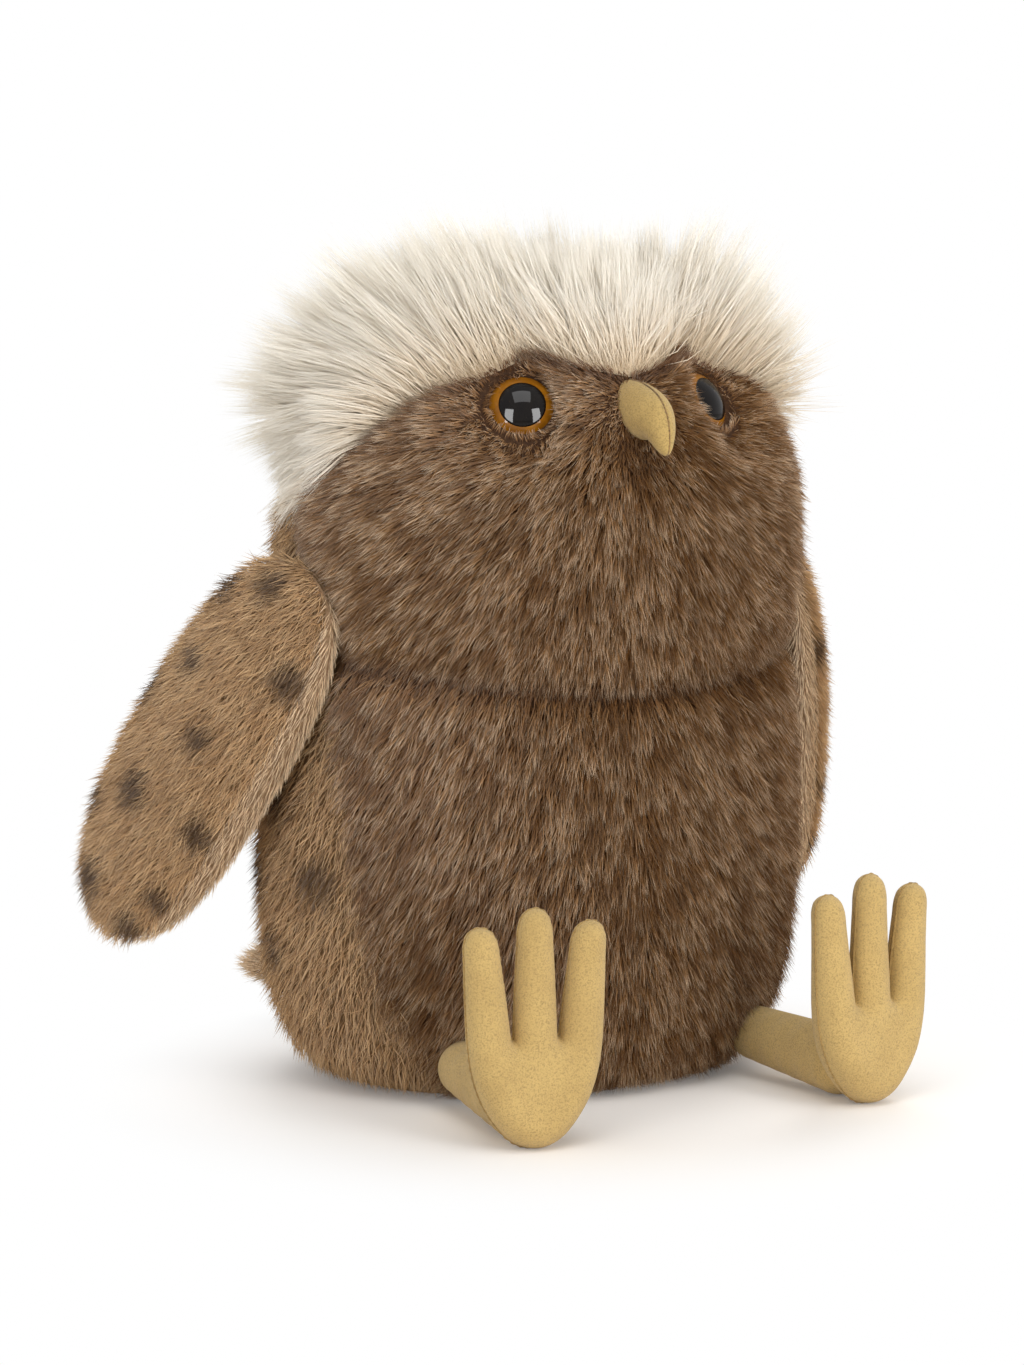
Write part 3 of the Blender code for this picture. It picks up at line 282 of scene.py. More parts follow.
class Nodes:
    """A material under construction, with short calls to add and join its nodes."""

    def __init__(self, name: str) -> None:
        """Start an empty material with a Principled shader.

        Args:
            name: Name of the finish.
        """
        self.material = bpy.data.materials.new(name)
        self.material.use_nodes = True
        self.tree = self.material.node_tree
        self.shader = next(n for n in self.tree.nodes if n.type == "BSDF_PRINCIPLED")

    def set(self, **values: object) -> "Nodes":
        """Write constants straight onto the shader's sockets.

        Args:
            values: Socket names, with _ for a space, and their values.

        Returns:
            This material, for the next call.
        """
        for key, value in values.items():
            self.shader.inputs[key.replace("_", " ")].default_value = value
        return self

    def add(self, kind: str, inputs: dict | None = None, **settings: object) -> bpy.types.Node:
        """Add a node.

        Args:
            kind: Node class, without its ShaderNode prefix.
            inputs: Socket index or name, with a constant or an output to join.
            settings: Properties of the node.

        Returns:
            The node.
        """
        node = self.tree.nodes.new("ShaderNode" + kind)
        for key, value in settings.items():
            setattr(node, key, value)
        for key, value in (inputs or {}).items():
            self.feed(node.inputs[key], value)
        return node

    def feed(self, socket: bpy.types.NodeSocket, value: object) -> None:
        """Join an output to a socket, or write a constant on it."""
        if isinstance(value, bpy.types.NodeSocket):
            self.tree.links.new(value, socket)
        else:
            socket.default_value = value

    def attribute(self, name: str, output: str = "Fac") -> bpy.types.NodeSocket:
        """Read a named attribute of the mesh."""
        return self.add("Attribute", attribute_name=name).outputs[output]

    def noise(self, place: bpy.types.NodeSocket, scale: float, detail: float = 2.0,
              rough: float = 0.5) -> bpy.types.NodeSocket:
        """Read fractal noise at a place."""
        inputs = {"Vector": place, "Scale": scale, "Detail": detail, "Roughness": rough}
        return self.add("TexNoise", inputs).outputs["Fac"]

    def ramp(self, value: bpy.types.NodeSocket, stops: tuple) -> bpy.types.NodeSocket:
        """Read a colour from stops of place and colour.

        Args:
            value: Place to read, 0 to 1.
            stops: Rows of place and linear colour.

        Returns:
            The colour output.
        """
        node = self.add("ValToRGB", {0: value})
        while len(node.color_ramp.elements) < len(stops):
            node.color_ramp.elements.new(0.5)
        for element, (place, colour) in zip(node.color_ramp.elements, stops):
            element.position = place
            element.color = (*colour, 1)
        return node.outputs["Color"]

    def level(self, value: bpy.types.NodeSocket, low: float, high: float,
              out_low: float = 0.0, out_high: float = 1.0) -> bpy.types.NodeSocket:
        """Carry a value from one range to another, held at both ends."""
        inputs = {0: value, 1: low, 2: high, 3: out_low, 4: out_high}
        return self.add("MapRange", inputs, interpolation_type="SMOOTHSTEP").outputs[0]

    def mix(self, share: object, first: object, second: object,
            way: str = "MIX") -> bpy.types.NodeSocket:
        """Mix two colours by a share."""
        node = self.add("Mix", {0: share}, data_type="RGBA", blend_type=way)
        for socket, value in ((node.inputs[6], first), (node.inputs[7], second)):
            colour = isinstance(value, tuple) and len(value) == 3
            self.feed(socket, (*value, 1) if colour else value)
        return node.outputs[2]

    def maths(self, way: str, first: object, second: object) -> bpy.types.NodeSocket:
        """Work out one sum of two values."""
        return self.add("Math", {0: first, 1: second}, operation=way).outputs[0]

    def place(self) -> bpy.types.NodeSocket:
        """Give the object's own coordinates."""
        return self.add("TexCoord").outputs["Object"]

    def colour(self, value: bpy.types.NodeSocket) -> "Nodes":
        """Join a colour to the shader."""
        self.feed(self.shader.inputs["Base Color"], value)
        return self

    def bump(self, height: bpy.types.NodeSocket, strength: float, depth: float) -> "Nodes":
        """Raise the surface by a height, in metres of depth."""
        inputs = {"Height": height, "Strength": strength, "Distance": depth}
        self.feed(self.shader.inputs["Normal"], self.add("Bump", inputs).outputs["Normal"])
        return self


@dataclass(frozen=True)
class FurFinish:
    """Strands coloured from root to tip, mottled in patches, each strand a little different, with a
    mark colour for real spots and dark edges and for painted shade in the neck fold.
    """

    name: str
    root: tuple
    middle: tuple
    tip: tuple
    streak: tuple
    mark_and_shade: tuple
    patch: float = 150.0
    patch_share: float = 0.85
    tip_start: float = 0.62
    vary: tuple = (0.72, 1.22)
    rough: float = 0.62

    def build(self) -> bpy.types.Material:
        """Build the material from the strands' own attributes.

        Returns:
            The material.
        """
        made = Nodes(self.name)
        along = made.attribute("along")
        shade = made.attribute("shade")
        root = made.attribute("root", "Vector")
        stops = ((0.0, self.root), (self.tip_start, self.middle), (1.0, self.tip))
        colour = made.ramp(along, stops)
        cloud = made.maths("MULTIPLY", made.noise(root, self.patch, 2.0, 0.6), 1.3)
        tint = made.maths("MULTIPLY", made.attribute("tint"), 0.8)
        share = made.level(made.maths("ADD", cloud, tint), 0.90, 1.20)
        colour = made.mix(made.maths("MULTIPLY", share, self.patch_share), colour, self.streak)
        # Mark colour: real spots and dark edges on some strands, painted shade of the neck fold on
        # others.
        colour = made.mix(made.attribute("mark_and_shade"), colour, self.mark_and_shade)
        light = made.level(shade, 0.0, 1.0, *self.vary)
        grey = made.add("CombineColor", {0: light, 1: light, 2: light}).outputs[0]
        made.colour(made.mix(1.0, colour, grey, "MULTIPLY"))
        made.set(Roughness=self.rough, Specular_IOR_Level=0.22)
        return made.material


@dataclass(frozen=True)
class ClothFinish:
    """Knitted backing that carries the fur, in the fur's own shadow colour."""

    name: str
    dark: tuple
    light: tuple
    thread: float = 900.0

    def build(self) -> bpy.types.Material:
        """Build the material: a fine knit in the object's coordinates.

        Returns:
            The material.
        """
        made = Nodes(self.name)
        place = made.place()
        knit = made.add("TexVoronoi", {"Vector": place, "Scale": self.thread}).outputs["Distance"]
        cloud = made.noise(place, 90.0)
        colour = made.mix(made.level(knit, 0.1, 0.6), self.light, self.dark)
        made.colour(made.mix(made.level(cloud, 0.35, 0.7, 0, 0.5), colour, self.dark))
        made.set(Roughness=0.9, Specular_IOR_Level=0.1)
        return made.bump(knit, 0.5, 0.0003).material


@dataclass(frozen=True)
class SuedeFinish:
    """Brushed suede: a short nap with soft clouds, darker pores and a light bloom."""

    name: str
    light: tuple
    dark: tuple
    pore: float = 2300.0

    def build(self) -> bpy.types.Material:
        """Build the material from clouds, a fine grain and pores.

        Returns:
            The material.
        """
        made = Nodes(self.name)
        place = made.place()
        cloud = made.level(made.noise(place, 95.0, 3.0, 0.6), 0.3, 0.72)
        grain = made.noise(place, self.pore, 3.0, 0.75)
        colour = made.mix(cloud, self.light, self.dark)
        fleck = made.level(grain, 0.47, 0.66, 0, 0.80)
        colour = made.mix(fleck, colour, tuple(0.62 * part for part in self.dark))
        made.colour(made.mix(made.level(grain, 0.46, 0.28, 0, 0.35), colour,
                             tuple(min(1.0, 1.18 * part) for part in self.light)))
        made.set(Roughness=0.88, Specular_IOR_Level=0.15, Sheen_Weight=0.18, Sheen_Roughness=0.5)
        return made.bump(grain, 0.8, 0.00045).material


@dataclass(frozen=True)
class GlossFinish:
    """Polished plastic: a deep colour with faint clouds and a smooth, glossy face."""

    name: str
    light: tuple
    dark: tuple
    rough: float = 0.04
    gloss: float = 0.3
    cloud: float = 320.0

    def build(self) -> bpy.types.Material:
        """Build the material.

        Returns:
            The material.
        """
        made = Nodes(self.name)
        place = made.place()
        share = made.level(made.noise(place, self.cloud, 3.0, 0.6), 0.3, 0.7)
        made.colour(made.mix(share, self.light, self.dark))
        made.set(Roughness=self.rough, Specular_IOR_Level=self.gloss, IOR=1.5)
        return made.material


@dataclass(frozen=True)
class FibreFinish:
    """Matt stuffing, moulded nylon or woven cloth: tangled threads over soft lumps."""

    name: str
    light: tuple
    dark: tuple
    thread: float = 420.0
    rough: float = 0.9

    def build(self) -> bpy.types.Material:
        """Build the material.

        Returns:
            The material.
        """
        made = Nodes(self.name)
        threads = made.noise(made.place(), self.thread, 5.0, 0.7)
        made.colour(made.mix(made.level(threads, 0.35, 0.65), self.dark, self.light))
        made.set(Roughness=self.rough)
        return made.bump(threads, 0.6, 0.0004).material


@dataclass
class Patch:
    """A stretch of surface as a fine grid of points with outward normals."""

    points: np.ndarray
    normals: np.ndarray = field(default=None)
    out: np.ndarray | None = None

    def __post_init__(self) -> None:
        """Work out the normals as the cross product of the grid's two slopes, turned outward."""
        if self.normals is None:
            down = np.gradient(self.points, axis=0)
            over = np.gradient(self.points, axis=1)
            normal = np.cross(over, down)
            normal[0], normal[-1] = normal[1], normal[-2]
            normal[:, 0], normal[:, -1] = normal[:, 1], normal[:, -2]
            self.normals = unit(normal)
        away = self.points - self.points.reshape(-1, 3).mean(0)
        if self.out is not None:
            away = np.broadcast_to(self.out, self.points.shape)
        if (self.normals * away).sum() < 0:
            self.normals = -self.normals

    def inset(self, depth: float | np.ndarray) -> np.ndarray:
        """Give the grid moved inward along its normals by a depth."""
        return self.points - np.asarray(depth)[..., None] * self.normals

    def scatter(self, count: int, rng: np.random.Generator) -> tuple[np.ndarray, ...]:
        """Scatter places evenly by area: cells are drawn by their area, then a place in each.

        Args:
            count: Number of places.
            rng: Seeded random source.

        Returns:
            Points, normals and grid shares (row, column) from 0 to 1.
        """
        p = self.points
        cross = np.cross(p[1:, 1:] - p[:-1, :-1], p[1:, :-1] - p[:-1, 1:])
        area = np.linalg.norm(cross, axis=-1) / 2
        total = np.cumsum(area.ravel())
        cell = np.searchsorted(total, (np.arange(count) + rng.random(count)) / count * total[-1])
        row, column = np.divmod(np.minimum(cell, area.size - 1), area.shape[1])
        u, v = rng.random((2, count))
        weights = ((1 - u) * (1 - v), (1 - u) * v, u * (1 - v), u * v)
        corners = ((0, 0), (0, 1), (1, 0), (1, 1))

        def read(grid: np.ndarray) -> np.ndarray:
            """Blend a grid's four corners round each place."""
            return sum(
                w[:, None] * grid[row + i, column + j] for w, (i, j) in zip(weights, corners)
            )

        shares = np.stack([(row + u) / area.shape[0], (column + v) / area.shape[1]], -1)
        return read(p), unit(read(self.normals)), shares


@dataclass(frozen=True)
class Pile:
    """How a fur grows: lengths in metres, angles in degrees from the cloth."""

    count: int
    length: float
    width: float = 0.00032
    spread: float = 0.28
    root_lift: float = 62.0
    tip_lift: float = 18.0
    lift_vary: float = 9.0
    scatter: float = 12.0
    droop: float = 0.0
    wave: float = 0.0003
    lock: float = 0.0022
    gather: float = 0.55
    wisp: float = 0.0
    wisp_gather: float = 0.0
    wisp_power: float = 1.7
    lock_power: float = 1.7
    seed: int = 1


class Coat:
    """Strands of one fur, grown as whole arrays and made into one mesh."""

    def __init__(self, pile: Pile, roots: np.ndarray, normals: np.ndarray, flow: np.ndarray,
                 lengths: np.ndarray, marks_and_shade: np.ndarray, lifts: float | np.ndarray = 0.0) -> None:
        """Grow the strands.

        Args:
            pile: How the fur grows.
            roots: Root of each strand.
            normals: Outward direction of the cloth at each root.
            flow: Direction in which each strand lies.
            lengths: Share of the pile's length for each strand.
            marks_and_shade: Share of the mark colour for each strand: real spots and dark edges,
                and painted shade at the neck fold.
            lifts: Degrees added to the lift of each strand.
        """
        self.pile = pile
        self.rng = np.random.default_rng(pile.seed)
        count = len(roots)
        self.shade = self.rng.random(count)
        self.tint = self.rng.random(count)
        self.marks_and_shade = marks_and_shade
        self.roots = roots
        flow = unit(flow - (flow * normals).sum(-1, keepdims=True) * normals)
        side = np.cross(normals, flow)
        turn = np.radians(pile.scatter) * self.rng.standard_normal(count)[:, None]
        way = flow * np.cos(turn) + side * np.sin(turn)
        self.side = unit(np.cross(normals, way))
        size = pile.length * lengths * (1 + pile.spread * self.rng.uniform(-1, 1, count))
        t = np.linspace(0, 1, STRAND_LEVELS) ** 1.35
        lift = pile.root_lift + (pile.tip_lift - pile.root_lift) * t
        extra = np.broadcast_to(lifts, (count,))[:, None]
        vary = pile.lift_vary * self.rng.standard_normal((count, 1))
        lift = np.radians(lift[None] + extra + vary)[..., None]
        heading = way[:, None] * np.cos(lift) + normals[:, None] * np.sin(lift)
        run = (heading[:, 1:] + heading[:, :-1]) / 2 * size[:, None, None] * np.diff(t)[:, None]
        start = np.zeros((count, 1, 3))
        path = roots[:, None] + np.concatenate([start, np.cumsum(run, 1)], 1)
        path[..., 2] -= pile.droop * t**2 * (size / pile.length)[:, None]
        phase = self.rng.uniform(0, 2 * math.pi, (count, 1))
        bend = pile.wave * np.sin(2.4 * math.pi * t[None] + phase) * t[None]
        path += bend[..., None] * self.side[:, None]
        path = self.gathered(path, pile.wisp, pile.wisp_gather, t**pile.wisp_power)
        path = self.gathered(path, pile.lock, pile.gather, t**pile.lock_power)
        path[..., 2] = np.maximum(path[..., 2], FLOOR_GAP)
        self.path = path
        self.t = t

    def gathered(self, path: np.ndarray, spacing: float, share: float,
                 closing: np.ndarray) -> np.ndarray:
        """Draw strands towards the nearest of some: path + g (other - path), g = share closing.

        Args:
            path: Points of every strand.
            spacing: Mean distance between locks, 0 for none.
            share: How far the tips close.
            closing: Share of the closing at each place along a strand.

        Returns:
            The drawn paths.
        """
        if not spacing or not share:
            return path
        low, high = self.roots.min(0), self.roots.max(0)
        cell = np.floor((self.roots - low) / spacing + 0.5 * self.rng.random(3)).astype(int)
        width = np.ceil((high - low) / spacing).astype(int) + 3
        key = (cell[:, 0] * width[1] + cell[:, 1]) * width[2] + cell[:, 2]
        order = self.rng.permutation(len(key))
        _, first = np.unique(key[order], return_index=True)
        chosen = order[first]
        middle = path.shape[1] // 2
        own = chosen[nearest(path[:, middle], path[chosen, middle])]
        pull = share * self.rng.uniform(0.25, 1.0, len(own))[:, None] * closing[None]
        self.tint = 0.62 * (own * GOLDEN % 1) + 0.38 * self.tint
        return path + pull[..., None] * (path[own] - path)

    def build(self, name: str, finish: bpy.types.Material) -> bpy.types.Object:
        """Make the mesh: each strand is a three-sided spindle, a point at its root and at its tip.

        Args:
            name: Name of the piece.
            finish: Its material.

        Returns:
            The coat as one object, with its own UV map and attributes.
        """
        path, t, pile = self.path, self.t, self.pile
        count = len(path)
        along = unit(np.gradient(path, axis=1))
        side = self.side[:, None]
        across = unit(side - (side * along).sum(-1, keepdims=True) * along)
        rise = np.cross(along, across)
        turn = 2 * math.pi * np.arange(3) / 3
        radius = pile.width / 2 * (1 - 0.60 * t[1:-1] ** 1.5)
        girth = self.rng.uniform(0.75, 1.25, count)
        ring = np.cos(turn)[None, None, :, None] * across[:, 1:-1, None]
        ring = ring + np.sin(turn)[None, None, :, None] * rise[:, 1:-1, None]
        ring = path[:, 1:-1, None] + radius[None, :, None, None] * girth[:, None, None, None] * ring
        points = np.concatenate([path[:, :1], ring.reshape(count, -1, 3), path[:, -1:]], 1)
        size = points.shape[1]
        faces, places = self.strand_faces()
        corner = (faces[None] + size * np.arange(count)[:, None]).astype(np.int32)
        grid = math.ceil(math.sqrt(count))
        cell = np.stack(np.divmod(np.arange(count), grid), -1)[:, None] + 0.1 + 0.8 * places[None]
        mesh = bpy.data.meshes.new(name)
        mesh.vertices.add(count * size)
        mesh.vertices.foreach_set("co", points.astype(np.float32).ravel())
        mesh.loops.add(corner.size)
        mesh.loops.foreach_set("vertex_index", corner.ravel())
        mesh.polygons.add(corner.size // 3)
        mesh.polygons.foreach_set("loop_start", np.arange(0, corner.size, 3, dtype=np.int32))
        mesh.update(calc_edges=True)
        places = (cell / grid).astype(np.float32).ravel()
        mesh.uv_layers.new(name="OFBake").uv.foreach_set("vector", places)
        level = np.concatenate([t[:1], np.repeat(t[1:-1], 3), t[-1:]])
        self.write(mesh, "along", np.tile(level, count))
        self.write(mesh, "shade", np.repeat(self.shade, size))
        # Mark share for each point: real spots and dark edges, and painted shade at the neck fold.
        self.write(mesh, "mark_and_shade", np.repeat(self.marks_and_shade, size))
        self.write(mesh, "tint", np.repeat(self.tint, size))
        place = mesh.attributes.new("root", "FLOAT_VECTOR", "POINT")
        place.data.foreach_set("vector", np.repeat(self.roots, size, 0).astype(np.float32).ravel())
        mesh.shade_flat()
        return new_object(name, mesh, finish)

    @staticmethod
    def write(mesh: bpy.types.Mesh, name: str, values: np.ndarray) -> None:
        """Store one number for each point of a mesh under a name."""
        layer = mesh.attributes.new(name, "FLOAT", "POINT")
        layer.data.foreach_set("value", values.astype(np.float32))

    @staticmethod
    def strand_faces() -> tuple[np.ndarray, np.ndarray]:
        """List one strand's triangles, corner by corner, with their places on the UV map.

        Returns:
            Point indices, and UV shares (along, around), three rows for each triangle.
        """
        index, places = [], []
        for k in range(3):
            near, far = k / 3, (k + 1) / 3
            here, after, middle = k + 1, (k + 1) % 3 + 1, (near + far) / 2
            index += [0, after, here, here, after, 4]
            places += [(0, middle), (0.5, far), (0.5, near)]
            places += [(0.5, near), (0.5, far), (1, middle)]
        return np.array(index), np.array(places)

    def take(self, keep: np.ndarray) -> "Coat":
        """Give a copy that holds only some strands.

        Args:
            keep: True for each strand to hold.

        Returns:
            The smaller coat.
        """
        part = object.__new__(Coat)
        part.pile, part.t, part.rng = self.pile, self.t, np.random.default_rng(self.pile.seed + 7)
        part.path, part.side = self.path[keep], self.side[keep]
        part.shade, part.marks_and_shade, part.roots = self.shade[keep], self.marks_and_shade[keep], self.roots[keep]
        part.tint = self.tint[keep]
        return part


@dataclass(frozen=True)
class TorsoForm:
    """Body and head as one form: ellipses whose widths, depths and lean are smooth in height."""

    neck_height: float = 0.107
    head_height: float = 0.090
    body: tuple = (0.0720, 0.0590)
    neck: tuple = (0.0670, 0.0540)
    head: tuple = (0.0700, 0.0560)
    lean: float = 0.0115
    rise: float = 0.0075
    rise_reach: float = 0.030
    body_shares: tuple = (
        (0.00, 0.69, 0.67, 0.00), (0.03, 0.79, 0.79, 0.00), (0.11, 0.90, 0.89, 0.00),
        (0.26, 0.975, 0.965, 0.00), (0.47, 1.00, 1.00, 0.00), (0.70, 0.995, 0.99, 0.06),
        (0.89, 0.965, 0.965, 0.13),
    )
    neck_lean: float = 0.26
    head_shares: tuple = (
        (0.08, 0.985, 0.985, 0.31), (0.26, 1.00, 1.00, 0.40), (0.46, 0.975, 0.98, 0.58),
        (0.62, 0.91, 0.91, 0.75), (0.755, 0.81, 0.81, 0.88), (0.865, 0.66, 0.665, 0.96),
        (0.945, 0.47, 0.48, 1.00), (0.985, 0.245, 0.25, 1.00), (1.00, 0.00, 0.00, 1.00),
    )
    seam_heights: tuple = (0.0, 0.18, 0.30, 0.46, 0.59, 0.76, 1.0)
    seam_angles: tuple = (40.0, 57.0, 62.0, 70.0, 78.0, 95.0, 97.0)
    brow_angles: tuple = (0.0, 14.0, 32.0, 50.0, 66.0, 82.0, 97.0, 125.0, 180.0)
    brow_shares: tuple = (0.83, 0.86, 0.90, 0.83, 0.71, 0.58, 0.48, 0.47, 0.48)
    eye_angle: float = 32.0
    eye_share: float = 0.778
    dimple: float = 0.0058
    dimple_reach: float = 0.0125
    top: float = 0.998

    @property
    def stations(self) -> np.ndarray:
        """Give rows of height, half width, half depth and lean, from the base to the top."""
        rows = [(h * self.neck_height, w * self.body[0], d * self.body[1], -k * self.lean)
                for h, w, d, k in self.body_shares]
        rows.append((self.neck_height, *self.neck, -self.neck_lean * self.lean))
        rows += [(self.neck_height + h * self.head_height, w * self.head[0], d * self.head[1],
                  -k * self.lean) for h, w, d, k in self.head_shares]
        return np.array(rows)

    @property
    def neck_level(self) -> float:
        """Give the level of the neck seam, 0 at the base and 1 at the top."""
        return len(self.body_shares) / (len(self.body_shares) + len(self.head_shares))

    def rows(self, level: np.ndarray) -> np.ndarray:
        """Read height, width, depth and lean at a level."""
        stations = self.stations
        return smooth(np.linspace(0, 1, len(stations)), stations, level)

    def level_at(self, height: np.ndarray) -> np.ndarray:
        """Find the level of a height from a fine table of heights."""
        fine = np.linspace(0, 1, 600)
        return np.interp(height, self.rows(fine)[:, 0], fine)

    def head_level(self, share: np.ndarray) -> np.ndarray:
        """Find the level of a share of the head's height."""
        return self.level_at(self.neck_height + np.asarray(share) * self.head_height)

    def plain(self, angle: np.ndarray, level: np.ndarray) -> np.ndarray:
        """Place points: x = width sin angle, y = lean - depth cos angle, and the neck's rise in z.

        Args:
            angle: Angle from the front, in radians.
            level: Level, 0 to 1.

        Returns:
            The points.
        """
        angle, level = np.broadcast_arrays(angle, level)
        height, width, depth, lean = np.moveaxis(self.rows(level), -1, 0)
        near = np.exp(-(((height - self.neck_height) / self.rise_reach) ** 2))
        height = height + self.rise * np.sin(angle) ** 2 * near
        return np.stack([width * np.sin(angle), lean - depth * np.cos(angle), height], -1)

    def normal(self, angle: np.ndarray, level: np.ndarray) -> np.ndarray:
        """Find the outward direction as the cross product of two small steps."""
        level = np.clip(level, SLOPE, self.top)
        around = self.plain(angle + SLOPE, level) - self.plain(angle - SLOPE, level)
        upward = self.plain(angle, level + SLOPE) - self.plain(angle, level - SLOPE)
        return unit(np.cross(around, upward))

    def eye(self, side: int) -> np.ndarray:
        """Place the middle of an eye on the plain form."""
        angle = np.array(math.radians(side * self.eye_angle))
        return self.plain(angle, self.head_level(self.eye_share))

    def point(self, angle: np.ndarray, level: np.ndarray) -> np.ndarray:
        """Place points with the eye sockets drawn in: depth = dimple exp(-(distance / reach)^2)."""
        place = self.plain(angle, level)
        depth = np.zeros(place.shape[:-1])
        for side in Side:
            away = np.linalg.norm(place - self.eye(side.value), axis=-1) / self.dimple_reach
            depth += self.dimple * np.exp(-(away**2))
        return place - depth[..., None] * self.normal(angle, level)

    def side_seam(self, level: np.ndarray) -> np.ndarray:
        """Find the angle of the side seam at a level."""
        height = self.rows(level)[..., 0] / (self.neck_height + self.head_height)
        return np.radians(smooth(self.seam_heights, self.seam_angles, height))

    def brow(self, angle: np.ndarray) -> np.ndarray:
        """Find the level of the crown's lower edge at an angle."""
        turned = np.degrees(np.abs(angle))
        return self.head_level(smooth(self.brow_angles, self.brow_shares, turned))

    def region(self, side: int, low: str, high: str, front: bool, rows: int, columns: int) -> Patch:
        """Spread a fine grid between two level lines and two side lines.

        Args:
            side: Sign of x.
            low: Lower line, "base" or "neck".
            high: Upper line, "neck" or "brow".
            front: True for the front of the owl, False for its back.
            rows: Rows of points.
            columns: Columns of points.

        Returns:
            The patch. Angles and levels are found together in a few repeated steps.
        """
        across = np.linspace(0, 1, columns)[None]
        up = np.linspace(0, 1, rows)[:, None]
        lines = {"base": lambda a: np.zeros_like(a), "brow": self.brow,
                 "neck": lambda a: np.full_like(a, self.neck_level)}
        level = np.full((rows, columns), self.neck_level)
        for _ in range(6):
            seam = self.side_seam(level)
            angle = seam * across if front else seam * (1 - across) + math.pi * across
            level = lines[low](angle) * (1 - up) + lines[high](angle) * up
        points = self.point(side * angle, level)
        around = np.gradient(points, axis=1)
        upward = np.gradient(points, axis=0)
        return Patch(points, unit(np.cross(around, upward)) * side)

    def crown(self, rows: int, columns: int) -> Patch:
        """Spread a grid over the top of the head, from the brow line to near the pole."""
        angle = np.linspace(-math.pi, math.pi, columns)[None]
        edge = self.brow(angle)
        share = np.linspace(0, 1, rows)[:, None] ** 0.8
        level = edge + (self.top - edge) * share
        angle = np.broadcast_to(angle, level.shape)
        return Patch(self.point(angle, level), self.normal(angle, level))

    def push_out(self, points: np.ndarray, margin: float) -> np.ndarray:
        """Move points out of the form: x and y grow from the axis to their ellipse ratio.

        Args:
            points: Points that may lie inside.
            margin: Distance to keep outside, in metres.

        Returns:
            The moved points.
        """
        height, width, depth, lean = np.moveaxis(self.rows(self.level_at(points[..., 2])), -1, 0)
        x, y = points[..., 0], points[..., 1] - lean
        ratio = np.sqrt((x / width) ** 2 + (y / depth) ** 2)
        grow = np.maximum(1, (1 + margin / width) / np.maximum(ratio, 1e-6))
        return np.stack([x * grow, y * grow + lean, points[..., 2]], -1)


def upright(normals: np.ndarray, towards: np.ndarray) -> np.ndarray:
    """Turn directions into the tangent plane of each normal and scale them to one."""
    return unit(towards - (towards * normals).sum(-1, keepdims=True) * normals)


@dataclass(frozen=True)
class Roots:
    """Places from which a panel's fur grows: points on the form, outward normals, grid shares."""

    points: np.ndarray
    normals: np.ndarray
    shares: np.ndarray
    rng: np.random.Generator
    side: Side


@dataclass(frozen=True)
class Combed:
    """How a panel's fur is combed at each root, with the degrees that its lift gains."""

    flow: np.ndarray
    lengths: np.ndarray
    marks_and_shade: np.ndarray
    keep: np.ndarray | bool = True
    lifts: np.ndarray | float = 0.0


